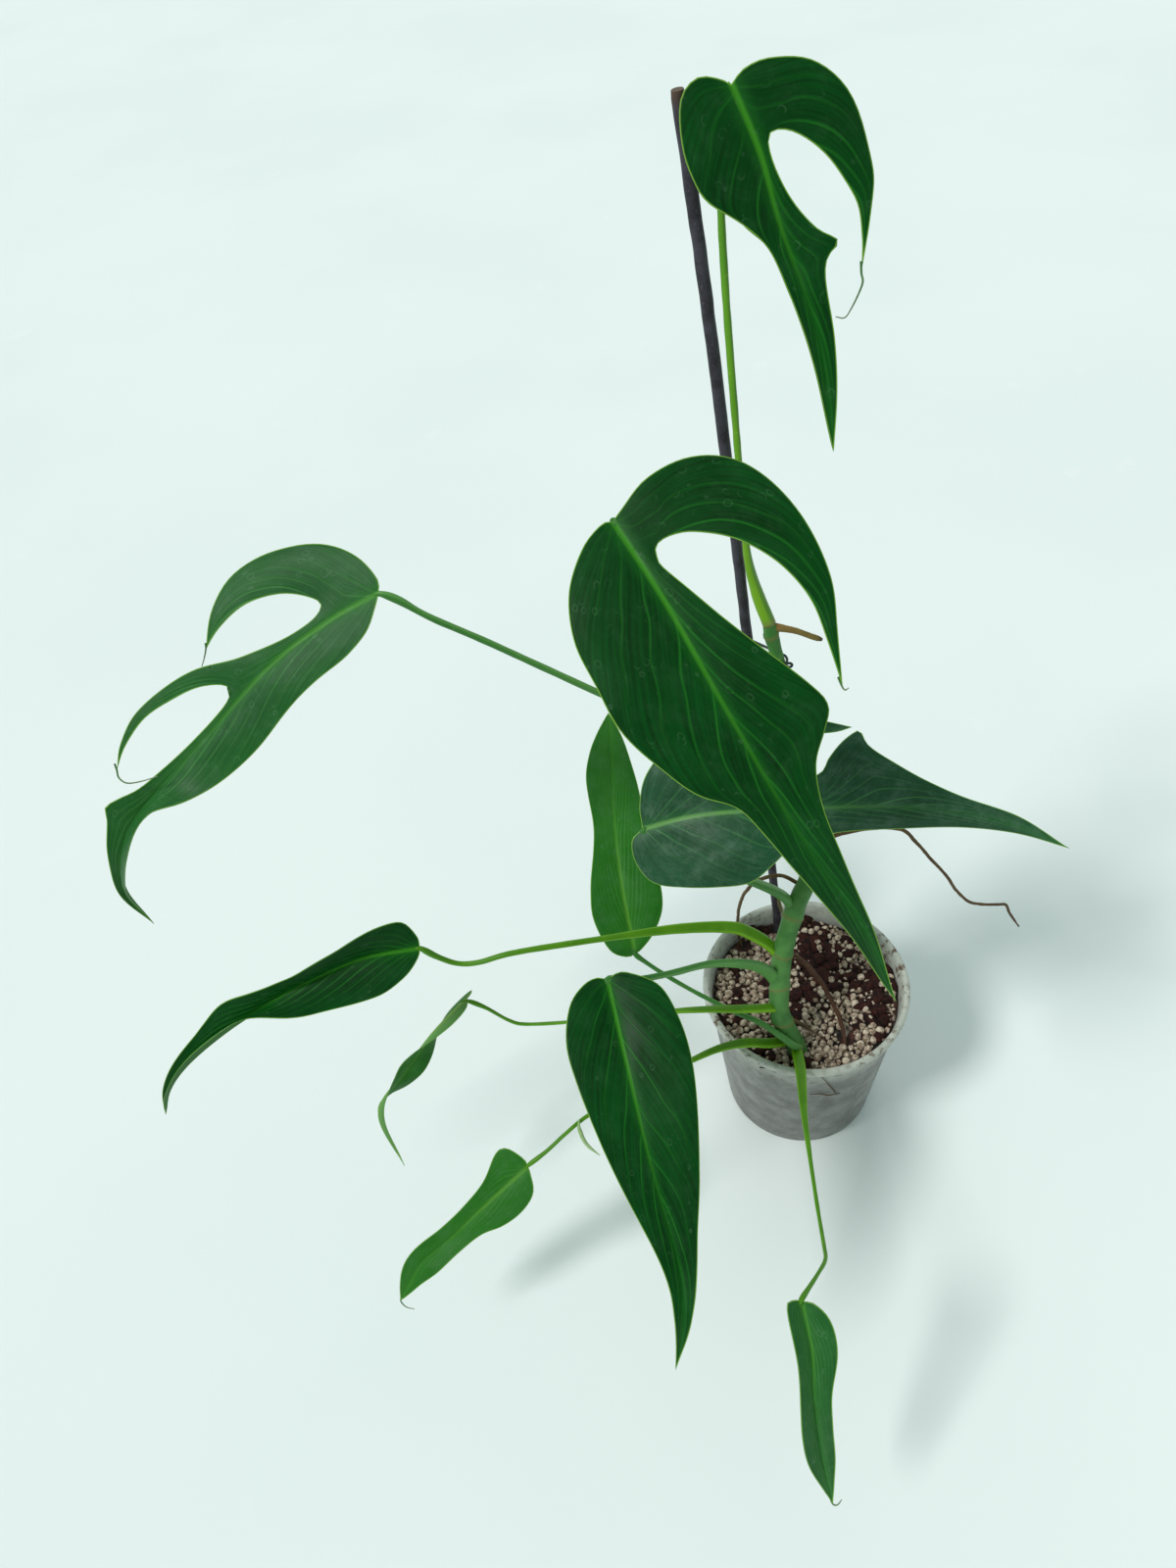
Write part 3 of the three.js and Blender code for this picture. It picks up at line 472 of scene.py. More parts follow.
@dataclass(frozen=True)
class FrostedPlastic(Finish):
    """Thin moulded polypropylene, gone cloudy: see-through in patches, with dirt at the rim.

    Args:
        clear: the tone where it is clean.
        cloudy: the tone of its lime film.
        rim: the tone of its rim, where the plastic is thickest.
        dirt: the tone of the soil that clings to it.
        body: how much of what is behind is hidden, from 0 to 1.
        rim_height: where the dirt is worst, in mm above the floor.
        rim_depth: how far below that it reaches, in mm.
    """

    clear: str = "#73716e"
    cloudy: str = "#8f908b"
    rim: str = "#c0c2b7"
    dirt: str = "#5d4532"
    body: float = 0.88
    rim_height: float = 100.0
    rim_depth: float = 26.0

    def surface(self, tree: Tree) -> Socket:
        """Build the nodes, on the pot's own coordinates.

        Args:
            tree: the material's empty tree.

        Returns:
            The shader output.
        """
        place = own_place(tree)
        film = cloud(tree, place, 1 / (13 * MM), 8.0, 0.68)
        cloudy = mask(tree, film, 0.3, 0.75)
        low = self.rim_height - self.rim_depth
        high = mask(tree, split(tree, place)[2], low * MM, self.rim_height * MM)
        tone = blend(tree, high, blend(tree, cloudy, self.clear, self.cloudy), self.rim)
        clings = mask(tree, cloud(tree, place, 1 / (4.5 * MM), 6.0, 0.7), 0.48, 0.64)
        patches = mask(tree, cloud(tree, place, 1 / (38 * MM), 2.0), 0.38, 0.56, 0.15, 0.95)
        dirty = maths(tree, "MULTIPLY", clings, maths(tree, "MULTIPLY_ADD", high, patches, 0.1))
        veil = mask(tree, cloudy, 0.0, 1.0, self.body - 0.12, self.body + 0.1, soft=False)
        colour = blend(tree, dirty, tone, self.dirt)
        plastic = relief_shader(tree, colour, self.roughness, film, 0.3, 0.3, {"IOR": 1.49})
        clear = add_node(tree, "ShaderNodeBsdfTransparent").outputs["BSDF"]
        return add_node(tree, "ShaderNodeMixShader", inputs={
            0: maths(tree, "MAXIMUM", veil, dirty), 1: clear, 2: plastic}).outputs["Shader"]


@dataclass(frozen=True)
class PottingMix(Finish):
    """Packed bark and perlite: cells of dark bark, brown crumb and pale grains, with near-black gaps of
    dark fines and painted shade in the crevices between them.

    Args:
        gap: the tone between the pieces, dark fines with painted shade.
        bark: the tone of the bark.
        crumb: the tone of the fine crumb.
        grain: the tone of the perlite.
        piece: the width of a piece, in mm.
    """

    gap: str = "#120b09"
    bark: str = "#30150f"
    crumb: str = "#4a2a20"
    grain: str = "#8d7d70"
    piece: float = 4.0

    def surface(self, tree: Tree) -> Socket:
        """Build the nodes, on the bed's own coordinates.

        Args:
            tree: the material's empty tree.

        Returns:
            The shader output.
        """
        cells = add_node(tree, "ShaderNodeTexVoronoi", inputs={
            "Vector": own_place(tree), "Scale": 1 / (self.piece * MM)}).outputs
        draw = add_node(tree, "ShaderNodeSeparateColor", inputs={"Color": cells["Color"]}).outputs["Red"]
        colour: Tone = self.bark
        for tone, start in ((self.crumb, 0.4), (self.grain, 0.68)):
            colour = blend(tree, mask(tree, draw, start, start + 0.06, soft=False), colour, tone)
        # painted shade: each cell darkens towards its edge to the gap tone, as the crevices between pieces
        # lie in shade
        shaded_gaps = blend(tree, mask(tree, cells["Distance"], 0.4, 0.75), colour, self.gap)
        return relief_shader(tree, shaded_gaps, self.roughness, cells["Distance"], 0.8, -1)


# A cured, waxy leaf skin over deep green: satin, with a pale midrib, fine side veins and a thin margin
# painted pale as a highlight
MATURE_FACE = LeafSkin("waxy_leaf_face", 0.45)
# The same face with a painted silvery sheen: more silver greens and stronger pale patches, over a thin waxy
# film, on the oldest leaves
PAINTED_SHEEN_FACE = LeafSkin("silvery_leaf_face", 0.47, dark="#0e3d1c", light="#205636", vein="#36723a",
    rib="#6ba052", rib_end="#245c2c", water_and_sheen="#6f8a78", marks=0.3, dust_and_sheen=0.3, shine=0.26)
# The face of a leaf that light reaches from behind, with that light painted in: a clearer, paler mid green
PAINTED_BACKLIGHT_FACE = LeafSkin("clear_green_leaf_face", 0.45, dark="#0f4a1a", light="#256828", vein="#397a34",
    rib="#4c9030", rib_end="#256526", marks=0.4, dust_and_sheen=0.12, shine=0.16)
# The leaf's matt back, paler and yellower, where the midrib stands out
MATURE_BACK = LeafSkin("matt_leaf_back", 0.6, dark="#2c5a2c", light="#3a6a36", vein="#4c8040",
    rib="#7ba650", rib_end="#5d8c44", glow_share=0.1, marks=0.1, dust_and_sheen=0.1)
# Younger blades: thinner and brighter, so more light comes through
YOUNG_FACE = LeafSkin("young_leaf_face", 0.44, dark="#1f6418", light="#317924", vein="#3a8029",
    rib="#5b9930", rib_end="#3f8428", glow_share=0.14, marks=0.35, dust_and_sheen=0.15)
YOUNG_BACK = LeafSkin("young_leaf_back", 0.6, dark="#4c8040", light="#5c904c", vein="#74a55c",
    rib="#92b964", rib_end="#84b05c", glow_share=0.16, marks=0.1)
# The cut thickness of a blade, painted pale as a highlight where light catches its cuticle, so that it
# shows as a bright line
LEAF_EDGE = Mottled("leaf_edge_cuticle", 0.5, dark="#2f6a24", light="#5c9438", fleck="#86b45a", patch=30.0)
# Leaf stalks: smooth juicy skin, bluish at the sheath of old ones and lime on young ones
MATURE_STALK = Stalky("mature_stalk_skin", 0.42, dark="#3c7434", light="#528c3e", fleck="#7fa866",
    patch=14.0, fleck_size=2.0, fleck_share=0.2, tooth=0.06, foot="#588b4a", head="#2b6c20",
    upper="#659c50", mark="#7c7a45")
LIME_STALK = Stalky("lime_stalk_skin", 0.4, dark="#558a10", light="#6fa41a", fleck="#9cc44a", patch=14.0,
    fleck_size=2.0, fleck_share=0.2, tooth=0.06, foot="#7cae14", head="#428a1c", upper="#3c7408",
    mark="#7c7a45")
# The green stem: matt and slightly bloomed, with thin corky rings where leaves have been
STEM_SKIN = Stalky("green_stem_skin", 0.55, dark="#376632", light="#548546", fleck="#6c955c", patch=9.0,
    fleck_size=1.4, fleck_share=0.2, tooth=0.1, foot="#487638", head="#3f8228", upper="#5c8f4c",
    mark="#74683c", blend=0.4)
# A stained hardwood stick: near black with a purple cast and lengthwise grain
STAKE_WOOD = Stalky("stained_stick", 0.6, dark="#28262e", light="#464450", fleck="#5c5660", patch=7.0,
    fleck_size=0.9, fleck_share=0.35, tooth=0.12, foot="#332b2c", head="#30292c", upper="#2b282d",
    mark="#5a463a", blend=0.35)
# Corky aerial roots: brown and dry
ROOT_BARK = Stalky("dry_aerial_root", 0.8, dark="#4d3c2a", light="#7b6546", fleck="#9c8865", patch=6.0,
    fleck_size=0.9, fleck_share=0.4, tooth=0.12, foot="#6a5230", head="#5c4a3c", upper="#7d6a4c",
    mark="#4a3522")
BROWN_ROOT = Stalky("brown_soil_root", 0.8, dark="#3c2619", light="#5f402c", fleck="#775741", patch=6.0,
    fleck_size=1.0, fleck_share=0.3, tooth=0.12, foot="#4d3425", head="#43291d", upper="#644430",
    mark="#33201a")
STUB_ROOT = Stalky("young_root_stub", 0.6, dark="#76672e", light="#98864a", fleck="#b0a062", patch=4.0,
    fleck_size=0.9, fleck_share=0.3, tooth=0.06, foot="#8c6636", head="#75652f", upper="#a3904e",
    mark="#3d3020")
# Dead leaf tips and scraps: papery and grey brown
DRY_SCRAP = Stalky("dry_leaf_scrap", 0.85, dark="#6b5a40", light="#9a8560", fleck="#b8a680", patch=3.0,
    foot="#6d6a3c", head="#7a6c58", upper="#9a8560", mark="#4a3c2c", tooth=0.05)
# The hair-thin end of a tip, still green at first and then dry
DRYING_TIP = Stalky("drying_leaf_tip", 0.6, dark="#4a6e3c", light="#6a8a58", fleck="#8a9a70", patch=3.0,
    foot="#2f6a2c", head="#7a8068", upper="#5c8048", mark="#6a6048", tooth=0.03)
# A curled green scrap of a spent sheath
YOUNG_SCRAP = Stalky("curled_green_scrap", 0.6, dark="#7d9c5a", light="#a8c48a", fleck="#c4d6a8",
    patch=3.0, foot="#8fb06c", head="#b4c89a", upper="#a8c48a", mark="#8a7a50", tooth=0.05)
# Plastic-coated garden wire: dark green, smooth
WIRE_COAT = Mottled("coated_garden_wire", 0.45, dark="#1e2b24", light="#2f4036", fleck="#4c5c50",
    patch=3.0)
# Injection-moulded polypropylene with a film of lime
FROSTED_POT = FrostedPlastic("frosted_polypropylene", 0.42)
# Composted pine bark, perlite and fine crumb, packed and moist
PACKED_MIX = PottingMix("packed_potting_mix", 0.95)
# Expanded perlite: chalky, with tiny pits
PERLITE = Mottled("perlite_grain", 0.95, dark="#85705f", light="#d2c2ae", fleck="#6a523f", patch=2.4,
    fleck_size=1.1, fleck_share=0.5, tooth=0.35)
# Composted pine bark: dark red brown, fibrous
BARK = Mottled("composted_pine_bark", 0.9, dark="#130706", light="#34150f", fleck="#603222", patch=2.6,
    fleck_size=0.9, fleck_share=0.35, tooth=0.6)
# The seamless paper under the plant: pale and matt, with a hardly visible cloudiness
STUDIO_PAPER = Mottled("pale_studio_paper", 0.9, dark="#e9efee", light="#eef2f1", fleck="#eef2f1",
    patch=400.0, fleck_size=60.0, fleck_share=0.2, tooth=0.05)


# Lines, meshes and tools


# How many steps a smooth line takes from one given point to the next
STEPS = 24


def smooth(points: Points, closed: bool = False, steps: int = STEPS) -> Array:
    """Run a smooth line through given points.

    Args:
        points: the points, flat or in space.
        closed: whether the line comes back to its start.
        steps: how many steps lead from each point to the next.

    Returns:
        The points of the line, one a row.
    """
    given = np.asarray(points, float)
    if closed:
        around = np.vstack([given[-1], given, given[:2]])
    else:
        around = np.vstack([2 * given[0] - given[1], given, 2 * given[-1] - given[-2]])
    share = (np.arange(steps) / steps)[:, None]
    spans = []
    for before, start, end, after in zip(around, around[1:], around[2:], around[3:]):
        leave, arrive = (end - before) / 2, (after - start) / 2
        spans.append(
            (2 * share**3 - 3 * share**2 + 1) * start + (share**3 - 2 * share**2 + share) * leave
            + (3 * share**2 - 2 * share**3) * end + (share**3 - share**2) * arrive
        )
    return np.vstack([*spans, given[:1] if closed else given[-1:]])


class Line:
    """A line of points that can be asked for its point at a distance along it."""

    def __init__(self, points: Array) -> None:
        """Measure the line.

        Args:
            points: its points, one a row.
        """
        self.points = points
        steps = np.linalg.norm(np.diff(points, axis=0), axis=1)
        self.sums = np.concatenate([[0.0], np.cumsum(steps)])
        self.length = float(self.sums[-1])

    def point(self, distance: Array) -> Array:
        """Give the points at some distances along the line."""
        return np.stack([np.interp(distance, self.sums, axis) for axis in self.points.T], -1)

    def tangent(self, distance: Array, reach: float = 1.5) -> Array:
        """Give the directions at some distances, from the points a short reach to either side."""
        ahead = self.point(np.minimum(distance + reach, self.length))
        return unit(ahead - self.point(np.maximum(distance - reach, 0)))

    def evenly(self, count: int) -> Array:
        """Give points that part the line in a number of even steps."""
        return self.point(np.linspace(0, self.length, count + 1))


def unit(vectors: Array) -> Array:
    """Give vectors their unit length."""
    return vectors / np.maximum(np.linalg.norm(vectors, axis=-1, keepdims=True), 1e-9)


def between(rows: Points, place: Array) -> Array:
    """Read a table of rows, each a place and its values, at places between them."""
    table = np.asarray(rows, float)
    return np.stack([np.interp(place, table[:, 0], column) for column in table.T[1:]], -1)


def softly(rows: Points, place: Array, spread: float = 0.05) -> Array:
    """Read a table as `between` does, with the corners at its rows rounded off.

    Args:
        rows: the table.
        place: the places asked for, from 0 to 1.
        spread: how far to either side a corner is rounded.

    Returns:
        One row of values for each place.
    """
    shifts = spread * np.linspace(-1, 1, 7)
    weights = 1 - np.abs(np.linspace(-0.85, 0.85, 7))
    taken = [w * between(rows, np.clip(place + s, 0, 1)) for w, s in zip(weights, shifts)]
    return np.sum(taken, axis=0) / weights.sum()


def grain(points: Array, size: float, seed: int) -> Array:
    """Give each point, in mm, a smooth random value from -1 to 1, with swells of a size in mm."""
    shift = Vector((13.7 * seed, 5.1 * seed, 29.3 * seed))
    return np.array([noise.noise(Vector(point) / size + shift) for point in points])


def make_piece(
    name: str,
    points: Array,
    faces: Sequence[Sequence[int]],
    finishes: Sequence[Finish],
    picks: Sequence[int] | None = None,
    values: dict[str, Array] | None = None,
    edges: Sequence[tuple[int, int]] = (),
) -> Piece:
    """Make a smooth-shaded mesh object with its place in its mesh.

    Args:
        name: the piece's name.
        points: its points, in mm.
        faces: the point numbers of each face.
        finishes: its finishes.
        picks: the number of each face's finish; the first for all if left out.
        values: attributes by name, with one row for each point.
        edges: the point numbers of each loose edge, where it has no faces.

    Returns:
        The object, linked to the scene.
    """
    mesh = bpy.data.meshes.new(name)
    mesh.from_pydata((np.asarray(points) * MM).tolist(), edges, faces)
    for finish in finishes:
        mesh.materials.append(finish.material())
    if picks is not None:
        mesh.polygons.foreach_set("material_index", np.asarray(picks, np.int32))
    mesh.shade_smooth()
    for key, rows in (values or {}).items():
        store(mesh, key, np.asarray(rows, float), "POINT")
    piece = bpy.data.objects.new(name, mesh)
    bpy.context.scene.collection.objects.link(piece)
    return piece


def store(mesh: bpy.types.Mesh, key: str, rows: Array, domain: str) -> None:
    """Store numbers or vectors on a mesh.

    Args:
        mesh: the mesh.
        key: the attribute's name.
        rows: one number or vector for each element.
        domain: "POINT" or "CORNER".
    """
    vectors = rows.ndim == 2
    layer = mesh.attributes.new(key, "FLOAT_VECTOR" if vectors else "FLOAT", domain)
    layer.data.foreach_set("vector" if vectors else "value", rows.astype(np.float32).ravel())


def hand_over(piece: Piece, slot: Slot, *nodes: str) -> None:
    """Ride a finished piece on the plant's body, and hide the solids that it stands for.

    Args:
        piece: the finished object.
        slot: the material slot that it wears; not used.
        nodes: the solids that it replaces, if any.
    """
    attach(piece, BODY)
    if nodes:
        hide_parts(*nodes)
    log.info("%s: %d faces, for %s", piece.name, len(piece.data.polygons), ", ".join(nodes) or "detail")


class Tool:
    """A geometry tree with named inputs, which is run once on a mesh and leaves a plain mesh."""

    def __init__(self, name: str, inputs: dict[str, str]) -> None:
        """Start the tree.

        Args:
            name: the tree's name.
            inputs: the kind of each input, by its label.
        """
        self.tree = bpy.data.node_groups.new(name, "GeometryNodeTree")
        for label, kind in {"Geometry": "Geometry", **inputs, "Material": "Material"}.items():
            self.tree.interface.new_socket(label, in_out="INPUT", socket_type=f"NodeSocket{kind}")
        self.tree.interface.new_socket("Geometry", in_out="OUTPUT", socket_type="NodeSocketGeometry")
        self.given = add_node(self.tree, "NodeGroupInput").outputs

    def step(self, kind: str, settings: Settings = None, **inputs: Any) -> Socket:
        """Add a geometry node, with its inputs by name and `_` for a space, and give its first output."""
        named = {key.replace("_", " "): value for key, value in inputs.items()}
        return add_node(self.tree, f"GeometryNode{kind}", settings, named).outputs[0]

    def number(self, name: str) -> Socket:
        """Read a number that the mesh carries."""
        return self.step("InputNamedAttribute", {"data_type": "FLOAT"}, Name=name)

    def scaled(self, vector: Socket, size: Socket) -> Socket:
        """Lengthen a vector by a number."""
        return add_node(self.tree, "ShaderNodeVectorMath", {"operation": "SCALE"}, {
            0: vector, "Scale": size}).outputs[0]

    def end(self, geometry: Socket) -> None:
        """End the tree with a shape: real, smooth meshes in the given material."""
        real = self.step("RealizeInstances", Geometry=geometry)
        dressed = self.step("SetMaterial", Geometry=self.step("SetShadeSmooth", Geometry=real),
                            Material=self.given["Material"])
        add_node(self.tree, "NodeGroupOutput", inputs={0: dressed})

    def run(self, piece: Piece, values: dict[str, Any]) -> Piece:
        """Run the tree on a piece and keep the result as its plain mesh.

        Args:
            piece: the object to work on.
            values: the inputs, by label.

        Returns:
            The same object.
        """
        modifier = piece.modifiers.new(self.tree.name, "NODES")
        modifier.node_group = self.tree
        for item in self.tree.interface.items_tree:
            if item.in_out == "INPUT" and item.name in values:
                modifier[item.identifier] = values[item.name]
        graph = bpy.context.evaluated_depsgraph_get()
        made = bpy.data.meshes.new_from_object(
            piece.evaluated_get(graph), preserve_all_data_layers=True, depsgraph=graph)
        spare = piece.data
        piece.modifiers.clear()
        piece.data = made
        made.name = piece.name
        bpy.data.meshes.remove(spare)
        return piece


class RodTool(Tool):
    """Draws a round rod along each line of a mesh, with a knobbly skin.

    The mesh carries `thick`, the radius in metres, and `run`, as its finish reads it.
    """

    def __init__(self) -> None:
        """Build the tree."""
        super().__init__("rod_along_line", {
            "Sides": "Int", "Step": "Float", "Knobble": "Float", "Knob size": "Float"})
        tree, given = self.tree, self.given
        curve = self.step("MeshToCurve", Mesh=given["Geometry"])
        even = self.step("ResampleCurve", {"mode": "LENGTH"}, Curve=curve, Length=given["Step"])
        circle = self.step("CurvePrimitiveCircle", Resolution=given["Sides"], Radius=1.0)
        rod = self.step("CurveToMesh", Curve=even, Profile_Curve=circle, Scale=self.number("thick"),
                        Fill_Caps=True)
        swells = maths(tree, "DIVIDE", 1.0, given["Knob size"])
        knobs = maths(tree, "SUBTRACT", cloud(tree, self.step("InputPosition"), swells, 2.0), 0.5)
        depth = maths(tree, "MULTIPLY", knobs, given["Knobble"])
        push = self.scaled(self.step("InputNormal"), depth)
        self.end(self.step("SetPosition", Geometry=rod, Offset=push))

    def draw(
        self, name: str, lines: Sequence[Array], radii: Sequence[Array], runs: Sequence[Array],
        finish: Finish, sides: int, step: float, knobble: float, knob_size: float, closed: bool = False,
    ) -> Piece:
        """Draw rods along some lines, all in one piece.

        Args:
            name: the piece's name.
            lines: the points of each line, in mm.
            radii: the radius at each point, in mm.
            runs: the `run` vector at each point.
            finish: the rods' finish.
            sides: how many sides a rod has.
            step: the length between two rings, in mm.
            knobble: how uneven the skin is, in mm.
            knob_size: the width of its swells, in mm.
            closed: whether each line comes back to its start.

        Returns:
            The finished object.
        """
        edges, start = [], 0
        for line in lines:
            last = start + len(line) - 1
            edges += [(i, i + 1) for i in range(start, last)] + ([(last, start)] if closed else [])
            start = last + 1
        piece = make_piece(name, np.vstack(lines), [], [], edges=edges, values={
            "thick": np.concatenate(radii) * MM, "run": np.vstack(runs)})
        return self.run(piece, {
            "Sides": sides, "Step": step * MM, "Knobble": knobble * MM, "Knob size": knob_size * MM,
            "Material": finish.material()})


class ScatterTool(Tool):
    """Strews lumpy pieces over a ground, no two closer than a set distance, where `room` allows it.

    SHAPES is how many lumps there are to draw from, and SPIN the most that one turns, in radians.
    """

    SHAPES = 4
    SPIN = 20.0

    def __init__(self) -> None:
        """Build the tree, with a few different lumps to draw from."""
        super().__init__("strewn_pieces", {
            "Apart": "Float", "Least": "Float", "Most": "Float", "Stretch": "Vector", "Lumps": "Float",
            "Tilt": "Float", "Lift": "Float", "Faces": "Int", "Seed": "Int"})
        tree, given = self.tree, self.given
        strewn = self.step(
            "DistributePointsOnFaces", {"distribute_method": "POISSON"}, Mesh=given["Geometry"],
            Distance_Min=given["Apart"], Density_Max=1e6, Density_Factor=self.number("room"),
            Seed=given["Seed"])
        lumps = add_node(tree, "GeometryNodeGeometryToInstance")
        ball = self.step("MeshIcoSphere", Radius=1.0, Subdivisions=given["Faces"])
        for number in range(self.SHAPES):
            tree.links.new(self.lump(ball, number), lumps.inputs[0])
        size = add_node(tree, "FunctionNodeRandomValue", {"data_type": "FLOAT"}, {
            2: given["Least"], 3: given["Most"], "Seed": given["Seed"]}).outputs[1]
        turns = add_node(tree, "FunctionNodeRandomValue", {"data_type": "FLOAT_VECTOR"}, {
            0: (-1.0, -1.0, -self.SPIN), 1: (1.0, 1.0, self.SPIN), "Seed": given["Seed"]})
        tilt = add_node(tree, "ShaderNodeCombineXYZ", inputs={
            "X": given["Tilt"], "Y": given["Tilt"], "Z": 1.0})
        turned = add_node(tree, "ShaderNodeVectorMath", {"operation": "MULTIPLY"}, {
            0: turns.outputs[0], 1: tilt.outputs[0]})
        spin = add_node(tree, "FunctionNodeEulerToRotation", inputs={"Euler": turned.outputs[0]})
        rise = add_node(tree, "ShaderNodeCombineXYZ", inputs={
            "Z": maths(tree, "MULTIPLY", size, given["Lift"])})
        lifted = self.step("SetPosition", Geometry=strewn, Offset=rise.outputs[0])
        self.end(self.step(
            "InstanceOnPoints", Points=lifted, Instance=lumps.outputs[0], Pick_Instance=True,
            Rotation=spin.outputs[0], Scale=self.scaled(given["Stretch"], size)))

    def lump(self, ball: Socket, number: int) -> Socket:
        """Press a ball of radius 1 into one of the lumps.

        Args:
            ball: the output that holds the ball.
            number: which lump.

        Returns:
            The output that holds the lump.
        """
        tree, lumps = self.tree, self.given["Lumps"]
        place = self.step("InputPosition")
        moved = add_node(tree, "ShaderNodeVectorMath", {"operation": "ADD"}, {
            0: place, 1: (7.3 * number, 3.1, 1.7)}).outputs[0]
        swell = maths(tree, "MULTIPLY_ADD", cloud(tree, moved, 1.1, 1.0), lumps, 1.0)
        size = maths(tree, "SUBTRACT", swell, maths(tree, "MULTIPLY", lumps, 0.5))
        return self.step("SetPosition", Geometry=ball, Position=self.scaled(place, size))


class DrainTool(Tool):
    """Cuts a ring of round drainage holes through the floor of a pot.

    SIDES is how many sides a hole has, and DEPTH how deep the cut goes, in mm.
    """

    SIDES = 28
    DEPTH = 8.0

    def __init__(self) -> None:
        """Build the tree."""
        super().__init__("drainage_holes", {"Holes": "Int", "Circle": "Float", "Hole": "Float"})
        ring = self.step("MeshCircle", Vertices=self.given["Holes"], Radius=self.given["Circle"])
        turned = self.step("Transform", Geometry=ring, Rotation=(0, 0, math.pi / 6))
        plug = self.step("MeshCylinder", Vertices=self.SIDES, Radius=self.given["Hole"],
                         Depth=self.DEPTH * MM)
        plugs = self.step("RealizeInstances", Geometry=self.step(
            "InstanceOnPoints", Points=turned, Instance=plug))
        exact = {"operation": "DIFFERENCE", "solver": "EXACT"}
        cut = add_node(self.tree, "GeometryNodeMeshBoolean", exact, {
            "Mesh 1": self.given["Geometry"], "Mesh 2": plugs})
        self.end(cut.outputs["Mesh"])


def ring_faces(bands: int, sides: int) -> list[list[int]]:
    """Join rings of points into a skin that is closed by a middle point at either end.

    Args:
        bands: how many bands there are, each between two rings.
        sides: how many points a ring has.

    Returns:
        The faces, with the points counted ring by ring and then the two middles.
    """
    steps = [(k, (k + 1) % sides) for k in range(sides)]
    final, first = bands * sides, (bands + 1) * sides
    faces = [[low + a, low + b, low + sides + b, low + sides + a]
             for low in range(0, final, sides) for a, b in steps]
    faces += [[first, b, a] for a, b in steps]
    return faces + [[first + 1, final + a, final + b] for a, b in steps]


def sweep(
    path: Points, section: Points, sides: int, step: float, up: Sequence[float] = (0, 0, 1)
) -> tuple[Array, list[list[int]], Array, Array]:
    """Draw a section along a path, with a channel pressed into its upper side and closed ends.

    Args:
        path: the middle line's points.
        section: rows of place, half width, half height and depth of the channel.
        sides: how many sides the section has.
        step: the length between two rings.
        up: the way that the upper side looks at the start.

    Returns:
        The points, the faces, the `run` vector of each point and the outward direction at each point.
    """
    line = Line(smooth(path))
    count = max(4, round(line.length / step))
    shares = np.linspace(0, 1, count + 1)
    centres = line.evenly(count)
    tangents = line.tangent(shares * line.length)
    angles = np.linspace(0, 2 * np.pi, sides, endpoint=False)
    cos, sin = np.cos(angles), np.sin(angles)
    top = np.asarray(up, float)
    rows, outs, runs = [], [], []
    sizes = softly(section, shares, 0.03)
    for centre, tangent, share, (width, height, channel) in zip(centres, tangents, shares, sizes):
        top = unit(top - top.dot(tangent) * tangent)
        side = np.cross(top, tangent)
        groove = channel * np.maximum(0, sin) ** 3
        across, high = cos * width, sin * height - groove
        rows.append(centre + across[:, None] * side + high[:, None] * top)
        outs.append(unit(cos[:, None] * side + sin[:, None] * top))
        runs.append(np.stack([np.full(sides, share), 0.5 + 0.5 * sin, np.zeros(sides)], -1))
    points = np.vstack([*rows, centres[:1], centres[-1:]])
    ends = [[0, 0.5, 0], [1, 0.5, 0]]
    outward = np.vstack([*outs, -tangents[:1], tangents[-1:]])
    return points, ring_faces(count, sides), np.vstack([*runs, ends]), outward


# Leaves


@dataclass(frozen=True)
class Slit:
    """A cut in a blade, from the margin nearly to the midrib.

    Args:
        foot: the place on the midrib beside its root, in mm.
        root: which point of the edge is its root.
        edge: the outline from the lobe's tip in to the root and out to the next tip.
    """

    foot: float
    root: int
    edge: Points


@dataclass(frozen=True)
class Half:
    """One half of a flat blade.

    Args:
        margin: its margin from the base to the first tip, in mm along and out from the midrib.
        slits: its slits, from the base.
    """

    margin: Points
    slits: Sequence[Slit] = ()


@dataclass(frozen=True)
class BladeForm:
    """How a blade is cut and how it lies.

    Args:
        midrib: its middle line from the stalk to the tip.
        face: rows of place and the way the upper side looks.
        fold: rows of place, how far each half is raised and how it rolls on, in degrees for 10 mm.
        left: the half to the left of the midrib.
        right: the other half.
    """

    midrib: Points
    face: Points
    fold: Points
    left: Half
    right: Half


class Sheet:
    """The curved sheet of a blade: where a point of its flat outline lies."""

    def __init__(self, form: BladeForm) -> None:
        """Measure the midrib.

        Args:
            form: the blade's form.
        """
        self.line = Line(smooth(form.midrib))
        self.length = self.line.length
        rows = np.asarray(form.face, float)
        self.face = np.hstack([rows[:, :1], unit(rows[:, 1:])])
        self.fold = form.fold

    def place(self, flat: Array) -> Array:
        """Lay points of the flat blade on the sheet.

        Args:
            flat: mm along the midrib and out from it, one point a row.

        Returns:
            The places of the points.
        """
        along, out = flat[:, 0], flat[:, 1]
        distance = np.clip(along, 0, self.length)
        share = distance / self.length
        forward = self.line.tangent(distance, 3.0)
        upper = softly(self.face, share)
        upper = unit(upper - np.sum(upper * forward, -1, keepdims=True) * forward)
        left = np.cross(upper, forward)
        folds = np.radians(softly(self.fold, share))
        angle = np.where(out > 0, folds[:, 0], folds[:, 1])
        roll = np.where(out > 0, folds[:, 2], folds[:, 3]) / 10
        roll = np.where(np.abs(roll) < 1e-5, 1e-5, roll)
        end = angle + roll * np.abs(out)
        across = np.sign(out) * (np.sin(end) - np.sin(angle)) / roll
        high = (np.cos(angle) - np.cos(end)) / roll
        return (self.line.point(distance) + (along - distance)[:, None] * forward
                + across[:, None] * left + high[:, None] * upper)


